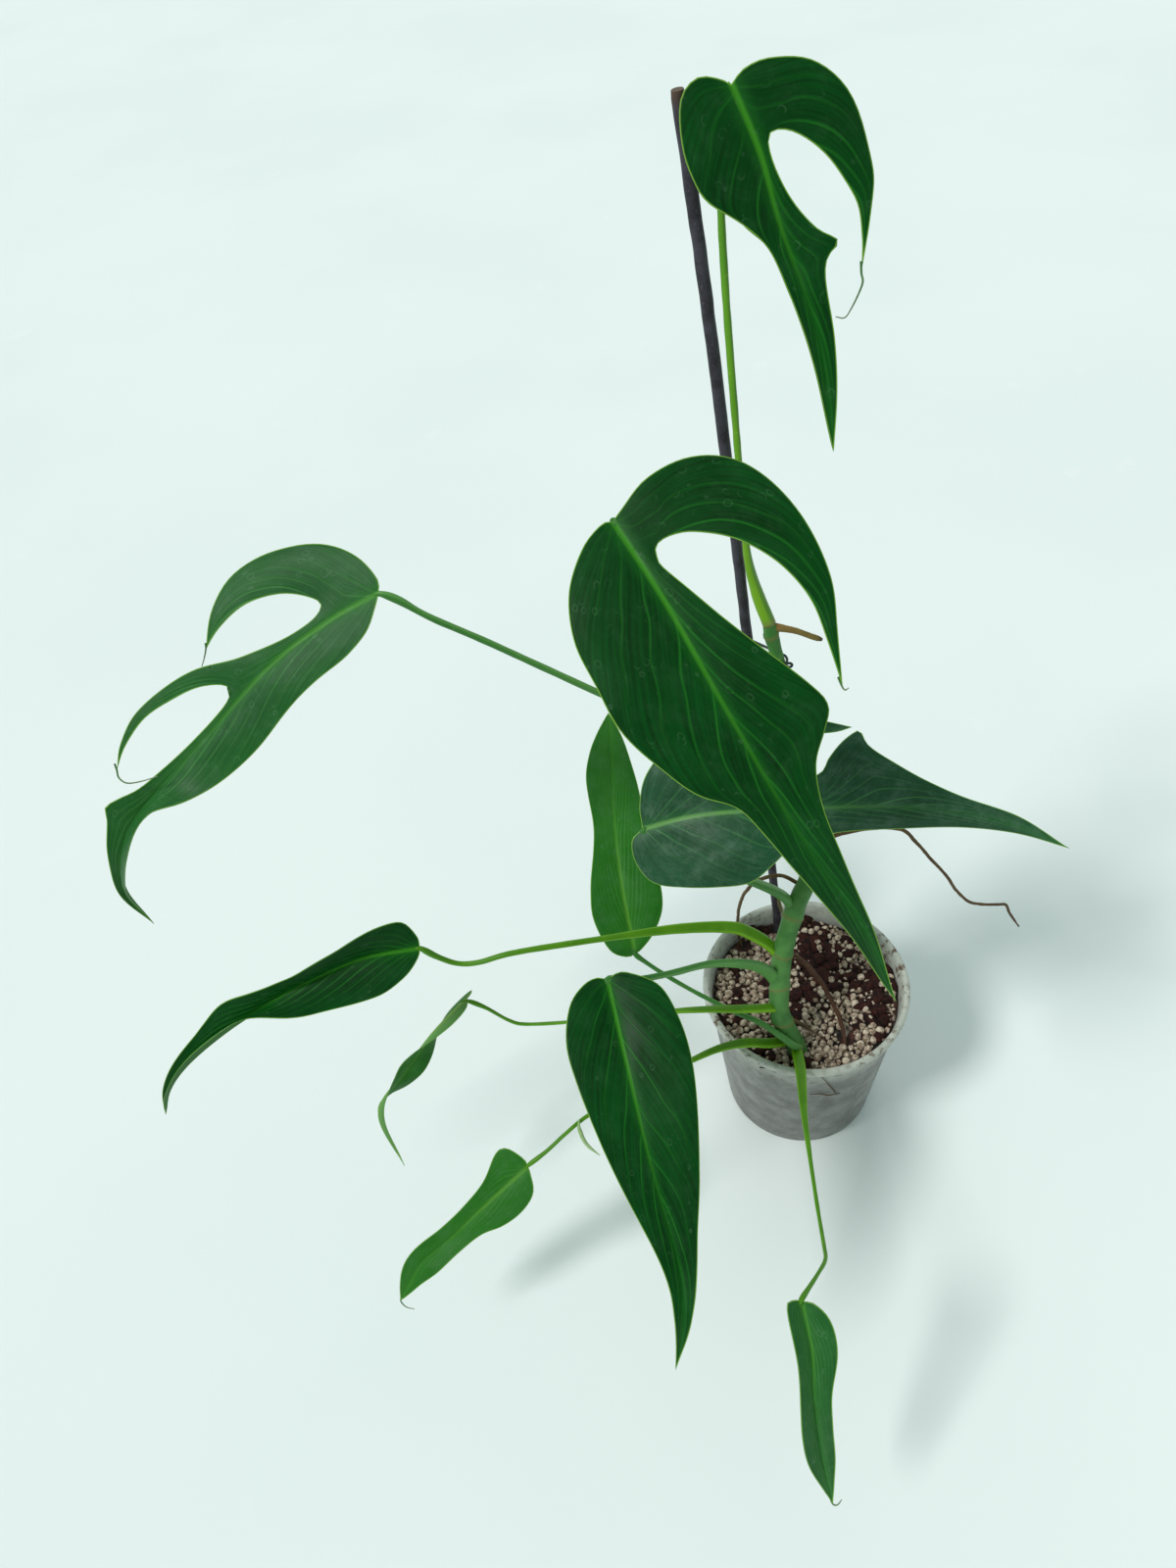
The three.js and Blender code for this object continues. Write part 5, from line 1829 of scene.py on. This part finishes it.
@dataclass
class Studio:
    """The camera at the photo's angle, the pale floor and soft light.

    Args:
        eye: where the camera stands, in mm.
        pitch: how far it looks down, in degrees.
        roll: how far it leans, in degrees.
        focal_pixels: its focal length in pixels of the photo.
        frame_height: the photo's height in pixels.
        floor_size: how long a side of the floor is, in mm.
        key_from: the way from the plant to the key light.
        key_spread: how wide the key light looks, in degrees.
        key_strength: its strength, in watts on a square metre.
        back_from: the way from the plant to the light behind.
        back_spread: how wide that light looks, in degrees.
        back_strength: its strength, likewise.
        sky: the tone of the sky.
        sky_strength: how strong the sky is.
    """

    eye: Sequence[float] = (-102, -345, 649)
    pitch: float = 46.9
    roll: float = -7.6
    focal_pixels: float = 1202.0
    frame_height: float = 1600.0
    floor_size: float = 16000.0
    key_from: Sequence[float] = (-0.71, -0.34, 1.0)
    key_spread: float = 12.0
    key_strength: float = 1.75
    back_from: Sequence[float] = (0.1, 1.0, 0.8)
    back_spread: float = 60.0
    back_strength: float = 0.55
    sky: str = "#dbf1ec"
    sky_strength: float = 0.55

    def build(self) -> None:
        """Set up the camera, the floor, the key light and the sky."""
        self.camera()
        self.floor()
        self.light()

    def camera(self) -> None:
        """Place the camera."""
        pitch, roll = math.radians(self.pitch), math.radians(self.roll)
        ahead = Vector((0, math.cos(pitch), -math.sin(pitch)))
        right = Vector((1, 0, 0))
        up = right.cross(ahead)
        leaning_right = math.cos(roll) * right + math.sin(roll) * up
        leaning_up = -math.sin(roll) * right + math.cos(roll) * up
        data = bpy.data.cameras.new("portrait_camera")
        data.sensor_width = 36.0
        data.lens = self.focal_pixels / self.frame_height * data.sensor_width
        data.clip_end = 100.0
        camera = bpy.data.objects.new("portrait_camera", data)
        turn = Matrix((leaning_right, leaning_up, -ahead)).transposed().to_4x4()
        camera.matrix_world = Matrix.Translation(Vector(self.eye) * MM) @ turn
        bpy.context.scene.collection.objects.link(camera)
        bpy.context.scene.camera = camera

    def floor(self) -> None:
        """Lay the floor, one quad, just under the pot."""
        half = self.floor_size / 2
        corners = [(-half, -half, 0), (half, -half, 0), (half, half, 0), (-half, half, 0)]
        make_piece("paper_floor", np.array(corners), [[0, 1, 2, 3]], [STUDIO_PAPER])

    def light(self) -> None:
        """Light the plant from the front left and softly from behind, under a pale sky."""
        self.lamp("soft_key", self.key_from, self.key_spread, self.key_strength)
        self.lamp("back_softbox", self.back_from, self.back_spread, self.back_strength)
        world = bpy.data.worlds.new("pale_sky")
        world.use_nodes = True
        world.node_tree.nodes.clear()
        sky = add_node(world.node_tree, "ShaderNodeBackground", inputs={
            "Color": linear(self.sky), "Strength": self.sky_strength})
        add_node(world.node_tree, "ShaderNodeOutputWorld", inputs={"Surface": sky.outputs[0]})
        bpy.context.scene.world = world
        bpy.context.scene.view_settings.view_transform = "Standard"

    def lamp(self, name: str, way: Sequence[float], spread: float, strength: float) -> None:
        """Add a far, soft lamp.

        Args:
            name: its name.
            way: the direction that it shines from.
            spread: how wide it looks, in degrees.
            strength: its strength, in watts on a square metre.
        """
        data = bpy.data.lights.new(name, "SUN")
        data.angle = math.radians(spread)
        data.energy = strength
        lamp = bpy.data.objects.new(name, data)
        lamp.rotation_euler = Vector(way).to_track_quat("Z", "Y").to_euler()
        bpy.context.scene.collection.objects.link(lamp)


# The leaves' own shapes, from the stalk to the tip

SHEATH = [[0, 3.2, 2.6, 0.4], [0.12, 3, 2.2, 0.9], [0.3, 2, 1.7, 0.5], [0.5, 1.5, 1.5, 0], [1, 1.3, 1.3, 0]]
SLIM_SHEATH = [[0, 2.6, 2.2, 0.3], [0.15, 2.4, 1.8, 0.7], [0.35, 1.3, 1.2, 0.2], [0.5, 1, 1, 0],
               [1, 0.9, 0.9, 0]]
STALKS = {
    "top": StalkForm(
        path=[[-17, 37.2, 324], [-19, 38, 330], [-22, 39, 340], [-25, 40, 353], [-27, 40, 368],
            [-30, 41, 407], [-34, 42, 466], [-35.5, 42.5, 500], [-35, 43, 520], [-32.5, 42.8, 529.5]],
        section=[[0, 2.9, 2.9, 0], [0.05, 3, 2.8, 0], [0.13, 2.5, 2.2, 0.6], [0.2, 1.5, 1.5, 0.2],
            [0.3, 1.4, 1.4, 0], [0.9, 1.25, 1.25, 0], [1, 1.1, 1.1, 0]]),
    "big": StalkForm(
        path=[[-9, 27, 280], [-14, 25, 290], [-24, 22, 307], [-39, 16, 332], [-54, 9, 359], [-68, 1, 386],
            [-77, -5, 406], [-81.5, -9.2, 417.5]],
        section=SHEATH),
    "far": StalkForm(
        path=[[-2, 17, 238], [-9, 17.5, 245], [-30, 20, 261], [-57, 21, 283], [-94, 22, 313],
            [-134, 25, 344], [-155, 27, 359], [-166, 29, 368], [-172.5, 30, 371.5]],
        section=SHEATH),
    "right": StalkForm(
        path=[[-9, -2, 170], [-13, -3, 183], [-20, -4, 193], [-29, -5, 202], [-46, -6, 216],
            [-64, -6, 234], [-76, -6, 247], [-80.6, -5.2, 251.4]],
        section=[[0, 3.6, 3.2, 0.4], [0.15, 3.6, 2.8, 0.9], [0.3, 3, 2.2, 0.7], [0.5, 1.8, 1.7, 0],
            [1, 1.4, 1.4, 0]]),
    "left": StalkForm(
        path=[[-17, -12, 148], [-23, -9, 156], [-32, -8, 166], [-43, -9, 175], [-69, -13, 185],
            [-107, -18, 192], [-146, -22, 196], [-164, -22, 192], [-174, -21, 192], [-182, -21, 199],
            [-188.6, -21, 207.6]],
        section=[[0, 3.2, 2.8, 0.4], [0.1, 3.4, 2.4, 0.9], [0.3, 2.6, 1.8, 0.7], [0.5, 1.6, 1.5, 0],
            [0.85, 1.3, 1.3, 0], [1, 1.2, 1.2, 0]]),
    "front": StalkForm(
        path=[[-20, -25, 126], [-21, -19, 138], [-29, -21, 154], [-41, -26, 168], [-57, -32, 180],
            [-74, -40, 189], [-90, -47, 198], [-104.5, -51.4, 207.6]],
        section=[[0, 3.4, 3, 0.4], [0.12, 3.5, 2.6, 0.9], [0.35, 3, 2, 0.9], [0.6, 1.7, 1.6, 0],
            [1, 1.4, 1.4, 0]]),
    "bottom": StalkForm(
        path=[[-12.6, -33, 97], [-13.6, -42, 103], [-15, -54, 109], [-17, -67, 111], [-19, -80, 112],
            [-22, -108, 115], [-24, -130, 117], [-26, -148, 124], [-28, -157, 132], [-34, -166, 141],
            [-44, -178.6, 151.4]],
        section=[[0, 2.6, 2.4, 0.3], [0.12, 2.9, 1.9, 0.8], [0.22, 2.3, 1.5, 0.6], [0.32, 1.5, 1.2, 0.2],
            [0.46, 0.95, 0.95, 0], [1, 0.85, 0.85, 0]]),
    "low": StalkForm(
        path=[[-15, -33, 102], [-27, -36, 107], [-40, -38, 114], [-54, -42, 119], [-68, -48, 122],
            [-95, -60, 126], [-122, -72, 126], [-135, -79, 123], [-145, -84, 118], [-154.4, -87.6, 113.6]],
        section=[[0, 2.8, 2.3, 0.3], [0.15, 2.8, 1.8, 0.8], [0.35, 1.6, 1.3, 0.3], [0.5, 1, 1, 0],
            [1, 0.9, 0.9, 0]]),
    "upright": StalkForm(
        path=[[-12, -36, 100], [-15.5, -38.5, 107], [-21.6, -35.7, 113.5], [-31.5, -29.4, 118.5],
            [-44, -23.5, 122.5], [-61, -17, 133], [-77, -12, 147], [-86, -9.6, 157], [-89.8, -8.2, 161.6]],
        section=[[p, w * 1.2, h * 1.2, g] for p, w, h, g in SLIM_SHEATH]),
    "twisted": StalkForm(
        path=[[-20, -26, 124], [-30, -29, 130], [-42, -30, 134], [-58, -29, 136], [-74, -27, 135],
            [-103, -23, 131], [-130, -20, 127], [-150, -18, 127], [-158, -17, 131], [-168, -15, 142],
            [-176.4, -13.2, 147.8]],
        section=SLIM_SHEATH),
}
BLADES = {
    "top": BladeForm(
        midrib=[[-32, 42, 530], [-25, 33, 513], [-20, 25, 494], [-12, 16, 472], [-8, 9, 455],
            [-5, 0, 427]],
        face=[[0, 0, -0.8, 0.6], [0.5, 0, -0.9, 0.5], [1, 0, -1, 0.3]],
        fold=[[0, 10, 10, -6, -6], [0.5, 10, 10, -4, -4], [1, 25, 25, 0, 0]],
        left=Half([[0, 0], [-2, 5], [-1, 13], [5, 24], [16, 31], [30, 32], [42, 31], [53, 26],
            [65, 18]], slits=[Slit(13, 5, [[65, 18], [56, 22], [45, 24], [30, 20], [20, 12], [17, 5],
            [23, 3], [34, 5], [47, 10], [54, 15], [57, 10], [64, 7], [80, 5], [98, 3], [116, 0]])]),
        right=Half([[0, 0], [-3, 3], [-6, 9], [-3, 16], [8, 21], [18, 22], [28, 20], [38, 11],
            [47, 6], [62, 5], [80, 4], [100, 2], [116, 0]])),
    "big": BladeForm(
        midrib=[[-82, -10, 418], [-69, -35, 402], [-53, -64, 375], [-31, -88, 332], [-9, -99, 289],
            [6, -104, 245]],
        face=[[0, 0, -0.7, 0.8], [0.5, 0, -0.8, 0.6], [1, 0, -0.95, 0.3]],
        fold=[[0, 8, 8, -3, -4], [0.5, 8, 8, -3, -3], [1, 15, 15, 0, 0]],
        left=Half([[0, 0], [-2, 5], [-6, 17], [-5, 32], [2, 44], [15, 51], [34, 54], [53, 52],
            [70, 45], [88, 37]], slits=[Slit(12, 8, [[88, 37], [72, 40], [56, 42], [41, 39], [28, 31],
            [19, 21], [15.8, 14.6], [15.1, 9.3], [16.6, 6.8], [19.2, 5.9], [23.8, 5.8], [42, 12], [57, 18],
            [81, 28], [91, 30], [98, 25], [107, 17], [121, 12], [140, 9], [165, 5], [195, 2], [226, 0]])]),
        right=Half([[0, 0], [-1, 4], [3, 14], [14, 26], [30, 33], [48, 34], [64, 34], [80, 29],
            [94, 23], [105, 14], [116, 11], [140, 8], [170, 6], [205, 3], [226, 0]])),
    "far": BladeForm(
        midrib=[[-173, 30, 372], [-195, 28, 363], [-221, 20, 351], [-253, 8, 328], [-276, 0, 312],
            [-289, -8, 303], [-298, -14, 290], [-303, -16, 270], [-300, -16, 245]],
        face=[[0, 0, -0.6, 0.8], [0.5, 0, -0.7, 0.7], [0.72, -0.3, -0.9, 0.4], [1, 0, -1, 0.1]],
        fold=[[0, 6, 6, -3, -4], [0.5, 6, 6, -2, -3], [0.58, 25, 10, 0, -3], [0.64, 66, 15, 0, -2],
            [0.74, 52, 20, 0, -2], [1, 50, 40, 0, 0]],
        left=Half([[0, 0], [3, 4], [11, 12], [24, 16], [42, 17], [62, 18], [82, 19], [102, 17],
            [118, 14], [132, 12], [150, 13], [162, 12], [175, 8], [188, 3], [205, 0]]),
        right=Half([[0, 0], [-2, 5], [2, 17], [13, 28], [28, 36], [43, 38], [55, 33], [67, 23]],
            slits=[Slit(18, 5, [[67, 23], [58, 25], [46, 25], [34, 20], [26, 13], [23, 7], [30, 4],
            [44, 5], [60, 11], [76, 21], [92, 26], [108, 27], [120, 23], [129, 17]]), Slit(68, 5,
            [[129, 17], [119, 21], [106, 23], [92, 20], [80, 15], [72, 7], [77, 3], [98, 3], [116, 4],
            [130, 6], [138, 10], [142, 12], [146, 9], [153, 6.5], [166, 4], [182, 3], [205, 0]])])),
    "right": BladeForm(
        midrib=[[-81, -5, 252], [-56, -10, 262], [-20, -14, 263], [34, -16, 256], [78, -20, 242],
            [107, -28, 227]],
        face=[[0, 0, -0.7, 0.7], [0.5, 0, -0.6, 0.8], [1, 0, -0.6, 0.8]],
        fold=[[0, 8, 8, -3, -4], [0.3, 8, 5, -3, -4], [0.5, 10, -20, -3, -8], [1, 10, -30, 0, 0]],
        left=Half([[0, 0], [1, 3], [3, 11], [11, 23], [28, 36], [48, 42], [68, 41], [84, 37.5],
            [95, 34.6]], slits=[Slit(36, 4, [[95, 34.6], [88, 32.6], [72, 31], [54, 25], [43, 14], [50, 9],
            [66, 11], [80, 15], [84, 21], [88.5, 26.5], [93, 30.5], [98, 33], [101, 27], [109, 21],
            [124, 13], [144, 7], [170, 4], [198, 0]])]),
        right=Half([[0, 0], [-2, 1], [-6, 4], [-7, 13], [-2, 24], [12, 30], [32, 32], [48, 31],
            [58, 24], [68, 16], [84, 12], [117, 10], [144, 7], [170, 4], [198, 0]])),
    "upright": BladeForm(
        midrib=[[-90, -8, 162], [-92, 20, 185], [-91, 55, 197], [-88, 85, 202], [-86, 118, 208]],
        face=[[0, 0, -0.5, 0.9], [1, 0, -0.5, 0.9]],
        fold=[[0, 10, 10, -4, -4], [1, 10, 10, -4, -4]],
        left=Half([[0, 0], [-1, 4], [4, 12], [20, 17], [34, 16], [54, 12], [70, 11], [94, 14],
            [110, 12], [124, 7], [138, 0]]),
        right=Half([[0, 0], [1, 3], [8, 11], [20, 18], [36, 19], [60, 16], [84, 14], [104, 10],
            [122, 6], [138, 0]])),
    "left": BladeForm(
        midrib=[[-189, -21, 208], [-215, -24, 210], [-243, -30, 205], [-266, -37, 199], [-285, -43, 191],
            [-303, -49, 180], [-315, -53, 167], [-323, -55, 149]],
        face=[[0, 0.15, -0.65, 0.75], [0.2, 0.15, -0.9, 0.35], [0.36, 0.2, -0.95, 0.3],
            [0.46, 0, -0.65, 0.75], [0.56, -0.4, 0, 0.9], [0.7, -0.5, -0.05, 0.85],
            [1, -0.65, -0.65, 0.35]],
        fold=[[0, 10, 10, 0, 0], [0.2, 30, 35, 0, 0], [0.36, 30, 35, 0, 0], [0.46, 40, 40, 0, 0],
            [0.56, 55, 55, 0, 0], [0.8, 60, 60, 0, 0], [1, 50, 50, 0, 0]],
        left=Half([[0, 0], [1, 4], [8, 12], [20, 18], [36, 18.5], [56, 15], [68, 11.5], [80, 6.5],
            [92, 4.5], [104, 6], [116, 6.5], [130, 6], [150, 3], [162, 0]]),
        right=Half([[0, 0], [0, 5], [5, 13], [12, 16], [28, 17], [54, 15], [68, 10], [78, 10],
            [92, 11.5], [104, 9], [112, 7.3], [130, 5], [150, 2], [162, 0]])),
    "front": BladeForm(
        midrib=[[-105, -52, 208], [-101, -90, 192], [-97, -122, 171], [-91, -154, 142], [-92, -172, 129],
            [-98, -185, 105]],
        face=[[0, 0, -0.3, 0.9], [0.5, 0, -0.5, 0.9], [1, 0, -0.8, 0.6]],
        fold=[[0, 15, 15, -6, -6], [0.6, 15, 15, -5, -5], [1, 35, 35, 0, 0]],
        left=Half([[0, 0], [-2, 4], [-1, 10], [8, 22], [24, 27], [42, 28], [64, 25], [90, 19],
            [115, 11], [140, 5], [160, 2], [174, 0]]),
        right=Half([[0, 0], [-2, 4], [0, 11], [8, 19], [24, 24], [42, 23], [66, 19], [90, 14],
            [115, 9], [140, 5], [160, 2], [174, 0]])),
    "low": BladeForm(
        midrib=[[-155, -88, 113], [-178, -98, 99], [-197, -106, 86], [-214, -114, 78], [-227, -124, 62]],
        face=[[0, 0, -0.5, 0.9], [1, 0, -0.5, 0.9]],
        fold=[[0, 10, 10, -8, -8], [1, 20, 20, -5, -5]],
        left=Half([[0, 0], [1, 3], [6, 11], [16, 14], [28, 13], [40, 9], [54, 8], [70, 9], [84, 5],
            [97, 0]]),
        right=Half([[0, 0], [-1, 4], [2, 13], [8, 15], [22, 9], [38, 7], [56, 7], [76, 7], [88, 4],
            [97, 0]])),
    "bottom": BladeForm(
        midrib=[[-44, -179, 151], [-42, -193, 132], [-43, -206, 112], [-42, -220, 86], [-39, -234, 64]],
        face=[[0, 0, -0.6, 0.6], [1, 0, -0.8, 0.5]],
        fold=[[0, 25, 25, -4, -4], [1, 30, 30, -4, -4]],
        left=Half([[0, 0], [1, 5], [8, 10], [20, 11], [40, 8], [60, 7], [78, 6], [92, 3],
            [103, 0]]),
        right=Half([[0, 0], [-2, 3], [-1, 7], [16, 8], [40, 7], [62, 8], [78, 7], [93, 3],
            [103, 0]])),
    "twisted": BladeForm(
        midrib=[[-177, -13, 148], [-196, -26, 140], [-213, -38, 127], [-228, -50, 113], [-222, -63, 80]],
        face=[[0, 0.5, -0.2, -0.85], [0.13, 0.5, -0.3, -0.8], [0.23, 0.65, -0.55, -0.5],
            [0.31, 0.6, -0.8, -0.05], [0.4, 0.4, -0.85, 0.25], [0.5, 0.6, -0.8, -0.05],
            [0.57, 0.75, -0.5, -0.45], [0.66, 0.85, 0.3, -0.4], [0.9, 0.7, 0.7, -0.1],
            [1, 0.7, 0.7, -0.15]],
        fold=[[0, 10, 10, 0, 0], [1, 10, 10, 0, 0]],
        left=Half([[0, 0], [-4, 2], [-5, 5], [0, 7], [9, 9], [22, 9], [40, 9], [58, 7], [75, 5],
            [92, 2], [109, 0]]),
        right=Half([[0, 0], [1, 3], [6, 5], [16, 6], [38, 7], [58, 6], [75, 4.5], [92, 2],
            [109, 0]])),
}
VEIN_GAPS = {"top": 16, "big": 24, "far": 20, "right": 15, "upright": 12, "left": 12, "twisted": 10,
             "front": 24, "low": 11, "bottom": 12}
FACES = {"right": PAINTED_SHEEN_FACE, "far": PAINTED_BACKLIGHT_FACE, "bottom": PAINTED_BACKLIGHT_FACE}
YOUNG = {"upright", "low", "bottom", "twisted"}
LIME = {"left", "bottom", "low", "twisted", "top"}
# About where the stem, the stake and two roots go into the bed
STANDING = ((-12, -34), (-6, 43.5), (-26.5, 36), (15.5, -30))
STAKE_PATH = ((-3, 43, 62), (-9.8, 44, 144), (-25.2, 45.3, 316), (-38.4, 46.2, 449), (-47.6, 47, 529))


def stake_and_roots() -> dict[str, Rod]:
    """List the rods by the solids that they replace.

    Returns:
        The stake and each root, by node.
    """
    return {
        "stake": Rod("dark_stake", STAKE_PATH, ((0, 1.8), (0.02, 2.3), (0.995, 2.3), (1, 2.0)), STAKE_WOOD,
            knobble=0.3, knob_size=9.0, wander=0.25, ends=(0.0, 0.012), spacing=2.0),
        "root_stub": Rod("stub_aerial_root", ((-16, 37, 322.5), (-10, 37, 320.2), (-3, 37, 316.8),
            (6, 37, 311.5)), ((0, 2.1), (0.2, 1.6), (0.5, 1.3), (0.93, 1.25), (1, 0.7)), STUB_ROOT,
            knobble=0.35, knob_size=2.5, ends=(0.0, 0.14), spacing=0.6),
        "root_wiry": Rod("wiry_aerial_root", ((-1, 4, 203), (8, 8, 212), (22, 10, 213), (36, 10, 212),
            (45, 10, 208), (51, 8, 201), (59, 6, 189), (67, 4, 177), (79, 2, 157), (88, 2, 151),
            (97, 1, 150), (101, 0, 150), (104, -1, 143), (110, -2, 132)), ((0, 1.2), (0.3, 0.9),
            (0.93, 0.7), (1, 0.35)), ROOT_BARK, knobble=0.45, knob_size=3.0, wander=0.5, ends=(0.0, 0.06)),
        "root_arc": Rod("arching_root", ((-5, 2, 186), (-15, 7, 190), (-25, 12, 181), (-30, 19, 163),
            (-31.5, 27, 138), (-30.5, 33, 112), (-28, 36, 90), (-26, 36, 80)), ((0, 1.0), (0.4, 0.9),
            (1, 0.8)), ROOT_BARK, knobble=0.3, knob_size=3.0, wander=0.4),
        "root_brown": Rod("brown_root", ((-17, -12, 150), (-11.5, -10.8, 148), (-4, -10.5, 136),
            (4.6, -10.7, 119), (11, -16.5, 104.5), (13.7, -26, 98), (13.5, -34, 95), (12.5, -38, 88)),
            ((0, 1.1), (0.3, 1.5), (0.6, 1.3), (1, 0.9)), BROWN_ROOT, knobble=0.6, knob_size=4.0,
            wander=0.4),
    }


def trimmings() -> list[Rod]:
    """List the dried ends of lobes and tips, the scraps on the plant and the fine stray roots.

    Returns:
        The rods.
    """
    hair = ((0, 0.42), (0.4, 0.32), (1, 0.18))
    paths = {
        "low": ((-225.5, -122.5, 63), (-227, -124, 62), (-224.5, -127, 61), (-220, -129.2, 62.6)),
        "bottom": ((-40, -231.5, 66), (-39, -234, 64), (-37.2, -234.6, 65), (-35.4, -233.6, 68.5)),
        "big": ((-15, -60, 380), (-14.1, -62.5, 377.7), (-13.6, -64.6, 378), (-13, -66.1, 380.1)),
        "top": ((4.6, 18, 482.5), (4.6, 16.5, 479.3), (4.4, 13.6, 478), (2.3, 9.5, 476.6),
            (-1.2, 4.8, 474), (-4, 1.6, 473), (-7, 1, 474)),
        "far_low": ((-291, 5.5, 323.5), (-290.6, 3.8, 321.3), (-289.6, 0.4, 320.3), (-286, -2.8, 319.8),
            (-280, -3.8, 320.6), (-272.2, -4.1, 322.5)),
        "far_high": ((-245.4, 30.4, 358.6), (-245.7, 29, 356.7), (-246.5, 25.4, 355),
            (-247.5, 22.3, 353.6)),
    }
    rods = [Rod(f"{name}_dry_tip", path, hair, DRYING_TIP, knobble=0.1, knob_size=1.5, wander=0.0,
        spacing=0.4) for name, path in paths.items()]
    scrap = ((0, 0.3), (0.3, 1.1), (0.7, 0.9), (1, 0.2))
    roots = {
        "short_brown_root": (((-16.5, -26, 113), (-9.5, -24.3, 104), (-4.3, -25.3, 98.5),
            (0.1, -28.9, 96.5)), ((0, 1.2), (0.7, 1.0), (1, 0.4))),
        "long_wall_root": (((-3.4, -52.4, 95.5), (0, -51.6, 88), (2.7, -50.7, 80.5), (7.8, -48.4, 65.5)),
            ((0, 0.2), (0.8, 0.35), (1, 0.2))),
        "cross_wall_root": (((-7.4, -49.3, 72.2), (-2.4, -50, 73), (3.2, -49.4, 68.3), (9.3, -48.3, 67.1)),
            ((0, 0.2), (0.6, 0.4), (1, 0.2))),
    }
    rods += [Rod(name, path, radius, ROOT_BARK, knobble=0.2, knob_size=2.0, wander=0.3,
        spacing=0.5) for name, (path, radius) in roots.items()]
    rods.append(Rod("hanging_spur", ((-127.5, -75, 128), (-128, -78.2, 124.3), (-125.6, -83.6, 119),
        (-119.9, -88.3, 114.9)), scrap, YOUNG_SCRAP, knobble=0.1, wander=0.0, spacing=0.6))
    rods.append(Rod("torn_sheath_flake", ((-14.6, 12, 167), (-13.6, 9, 162), (-12.4, 5, 156.5)), scrap,
        DRY_SCRAP, knobble=0.3, wander=0.0, spacing=0.5))
    return rods


def main() -> None:
    """Build the studio and the plant, piece by piece."""
    logging.basicConfig(level=logging.INFO, format="%(message)s")
    Studio().build()
    pot = Pot()
    hand_over(pot.build(), Slot.POT, "pot")
    stem = Stem()
    hand_over(stem.build(), Slot.STEM, "stem")
    for name, form in STALKS.items():
        hand_over(Stalk(name, form, BLADES[name], name in LIME).build(), Slot.STALK, f"petiole_{name}")
    for name, form in BLADES.items():
        young = name in YOUNG
        face = FACES.get(name, YOUNG_FACE if young else MATURE_FACE)
        blade = Blade(name, form, young, face, VEIN_GAPS[name], 0.8 if young else 0.42)
        hand_over(blade.build(), Slot.YOUNG_BLADE if young else Slot.BLADE, f"blade_{name}")
    rod_tool = RodTool()
    for node, rod in stake_and_roots().items():
        hand_over(rod.build(rod_tool), Slot.STAKE if node == "stake" else Slot.ROOT, node)
    for rod in trimmings():
        hand_over(rod.build(rod_tool, sides=8, step=0.5), Slot.ROOT)
    hand_over(Tie().build(rod_tool, stem.path, STAKE_PATH), Slot.TIE, "tie")
    for piece in Substrate(pot).build(np.array(STANDING)):
        hand_over(piece, Slot.SUBSTRATE, "substrate")


if __name__ == "__main__":
    main()
